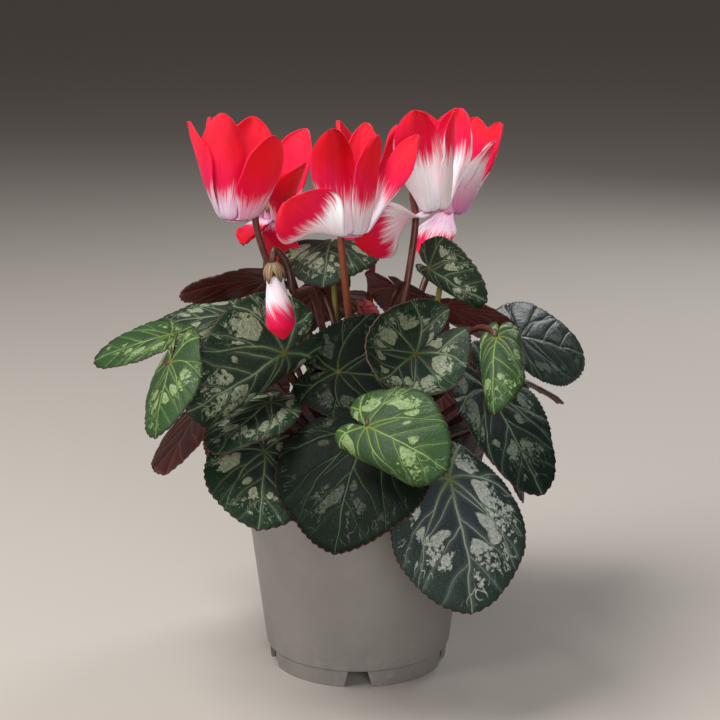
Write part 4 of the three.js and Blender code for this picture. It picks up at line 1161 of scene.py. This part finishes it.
def cut_from(piece, cutters):
    """Cuts each cutter out of the piece and leaves a plain mesh."""
    for cutter in cutters:
        cut = piece.modifiers.new("cut", "BOOLEAN")
        cut.operation = "DIFFERENCE"
        cut.object = cutter
    bpy.context.view_layer.update()
    view = bpy.context.evaluated_depsgraph_get()
    mesh = bpy.data.meshes.new_from_object(piece.evaluated_get(view))
    piece.modifiers.clear()
    old = piece.data
    piece.data = mesh
    bpy.data.meshes.remove(old)
    for cutter in cutters:
        bpy.data.objects.remove(cutter)


def make_pot():
    profile = rounded([
        (0, FOOT_HEIGHT),
        (FOOT_RADIUS - FOOT_WALL, FOOT_HEIGHT),
        (FOOT_RADIUS - FOOT_TAPER - FOOT_WALL, 0),
        (FOOT_RADIUS - FOOT_TAPER, 0),
        (FOOT_RADIUS, FOOT_HEIGHT - 0.2),
        (POT_BASE_RADIUS, FOOT_HEIGHT + 0.5),
        (WALL_TOP_RADIUS, WALL_TOP),
        (WALL_TOP_RADIUS + POT_RIM_STEP, WALL_TOP),
        (POT_RIM_RADIUS, POT_HEIGHT),
        (POT_RIM_RADIUS - POT_WALL, POT_HEIGHT),
        (WALL_TOP_RADIUS + POT_RIM_STEP - POT_WALL, WALL_TOP + POT_WALL),
        (WALL_TOP_RADIUS - POT_WALL, WALL_TOP),
        (POT_BASE_RADIUS - POT_WALL, FOOT_HEIGHT + FLOOR_THICKNESS),
        (0, FOOT_HEIGHT + FLOOR_THICKNESS),
    ], POT_ROUNDING)
    pot = object_of(spun(profile, POT_STEPS), "pot_shell", [pot_finish()])
    cutters = []
    for i in range(NOTCH_COUNT):
        turn = Matrix.Rotation(2 * pi * i / NOTCH_COUNT, 4, "Z")
        bm = bmesh.new()
        corners = [(-NOTCH_FOOT_WIDTH / 2, -1), (NOTCH_FOOT_WIDTH / 2, -1),
                   (NOTCH_TOP_WIDTH / 2, FOOT_HEIGHT), (-NOTCH_TOP_WIDTH / 2, FOOT_HEIGHT)]
        face = bm.faces.new([bm.verts.new((x, -FOOT_RADIUS - 4, z)) for x, z in corners])
        pushed = bmesh.ops.extrude_face_region(bm, geom=[face])["geom"]
        far = [part for part in pushed if isinstance(part, bmesh.types.BMVert)]
        bmesh.ops.translate(bm, vec=(0, 8, 0), verts=far)
        drain = Matrix.Translation((0, -DRAIN_RING, FOOT_HEIGHT))
        bmesh.ops.create_cone(bm, cap_ends=True, segments=32, radius1=DRAIN_RADIUS,
                              radius2=DRAIN_RADIUS, depth=3 * FLOOR_THICKNESS, matrix=drain)
        cutters.append(object_of(closed(moved(bm, turn)), f"cutter_{i}", []))
    cut_from(pot, cutters)
    keep(pot, "pot", "pot")
    pot.data.shade_smooth()
    pot.data.set_sharp_from_angle(angle=radians(32))


def make_compost():
    bottom = FOOT_HEIGHT + FLOOR_THICKNESS + SEAT_GAP
    inner = WALL_TOP_RADIUS - POT_WALL - SEAT_GAP
    steps = [(inner - 1 - k * (inner - 1) / 24, COMPOST_TOP - 1 + min(1, k / 6)) for k in range(24)]
    outer = [(0, bottom), (POT_BASE_RADIUS - POT_WALL - SEAT_GAP, bottom), (inner, WALL_TOP - 2)]
    soil = spun([*outer, *steps, (0, COMPOST_TOP)], 96)
    for vert in soil.verts:
        if vert.co.z > COMPOST_TOP - 1.5:
            vert.co.z += 1.1 * noise.noise(vert.co / 3.1) + 0.8 * noise.noise(vert.co / 1.3)
    keep(object_of(soil, "compost_bed", [compost_finish()]), "compost", "compost")


def make_tuber():
    turns = [pi * k / 30 for k in range(31)]
    line = [(TUBER_RADIUS * sin(turn), TUBER_MIDDLE - TUBER_HALF * cos(turn)) for turn in turns]
    corm = spun(line, 72)
    for vert in corm.verts:
        vert.co *= 1 + 0.02 * noise.noise(vert.co / 7)
    keep(object_of(corm, "corm", [tuber_finish()]), "tuber", "tuber")


make_leaves()
make_flowers()
make_pot()
make_compost()
make_tuber()


# Setting: floor, light and camera

def make_floor():
    material = Finish("pale_floor").finished((188, 182, 175), 0.75)
    bm = bmesh.new()
    bmesh.ops.create_grid(bm, x_segments=1, y_segments=1, size=FLOOR_REACH)
    object_of(bm, "floor", [material])


def softbox(name, at, aim, size, power, tint=(1, 1, 1)):
    light = bpy.data.lights.new(name, "AREA")
    light.shape = "RECTANGLE"
    light.size, light.size_y = size
    light.energy = power
    light.color = tint
    lamp = placed(name, light)
    lamp.location = at
    lamp.rotation_euler = (Vector(aim) - Vector(at)).to_track_quat("-Z", "Y").to_euler()


def make_setting():
    make_floor()
    world = bpy.data.worlds.new("studio")
    world.use_nodes = True
    background = world.node_tree.nodes["Background"]
    background.inputs["Color"].default_value = (0.30, 0.27, 0.25, 1)
    background.inputs["Strength"].default_value = 0.30
    bpy.context.scene.world = world
    softbox("key", (-0.50, -0.25, 1.15), (0, 0, 0.16), (0.6, 0.6), 15, (1, 0.98, 0.96))
    softbox("left", (-1.10, -0.60, 0.50), (0, 0, 0.12), (0.4, 0.5), 5, (1, 0.97, 0.94))
    softbox("front", (0.15, -1.20, 0.45), (0, 0, 0.14), (0.5, 0.5), 6, (1, 0.97, 0.94))
    softbox("rim", (0.6, 0.9, 0.8), (0, 0, 0.16), (0.4, 0.4), 5, (0.96, 0.98, 1))
    camera = bpy.data.cameras.new("camera")
    camera.lens = CAMERA_LENS
    camera.sensor_width = CAMERA_SENSOR
    camera.clip_start = 0.01
    eye = placed("camera", camera)
    eye.location = CAMERA_AT
    eye.rotation_euler = (radians(90 - CAMERA_PITCH), 0, 0)
    bpy.context.scene.camera = eye
    bpy.context.scene.view_settings.view_transform = "Standard"


make_setting()
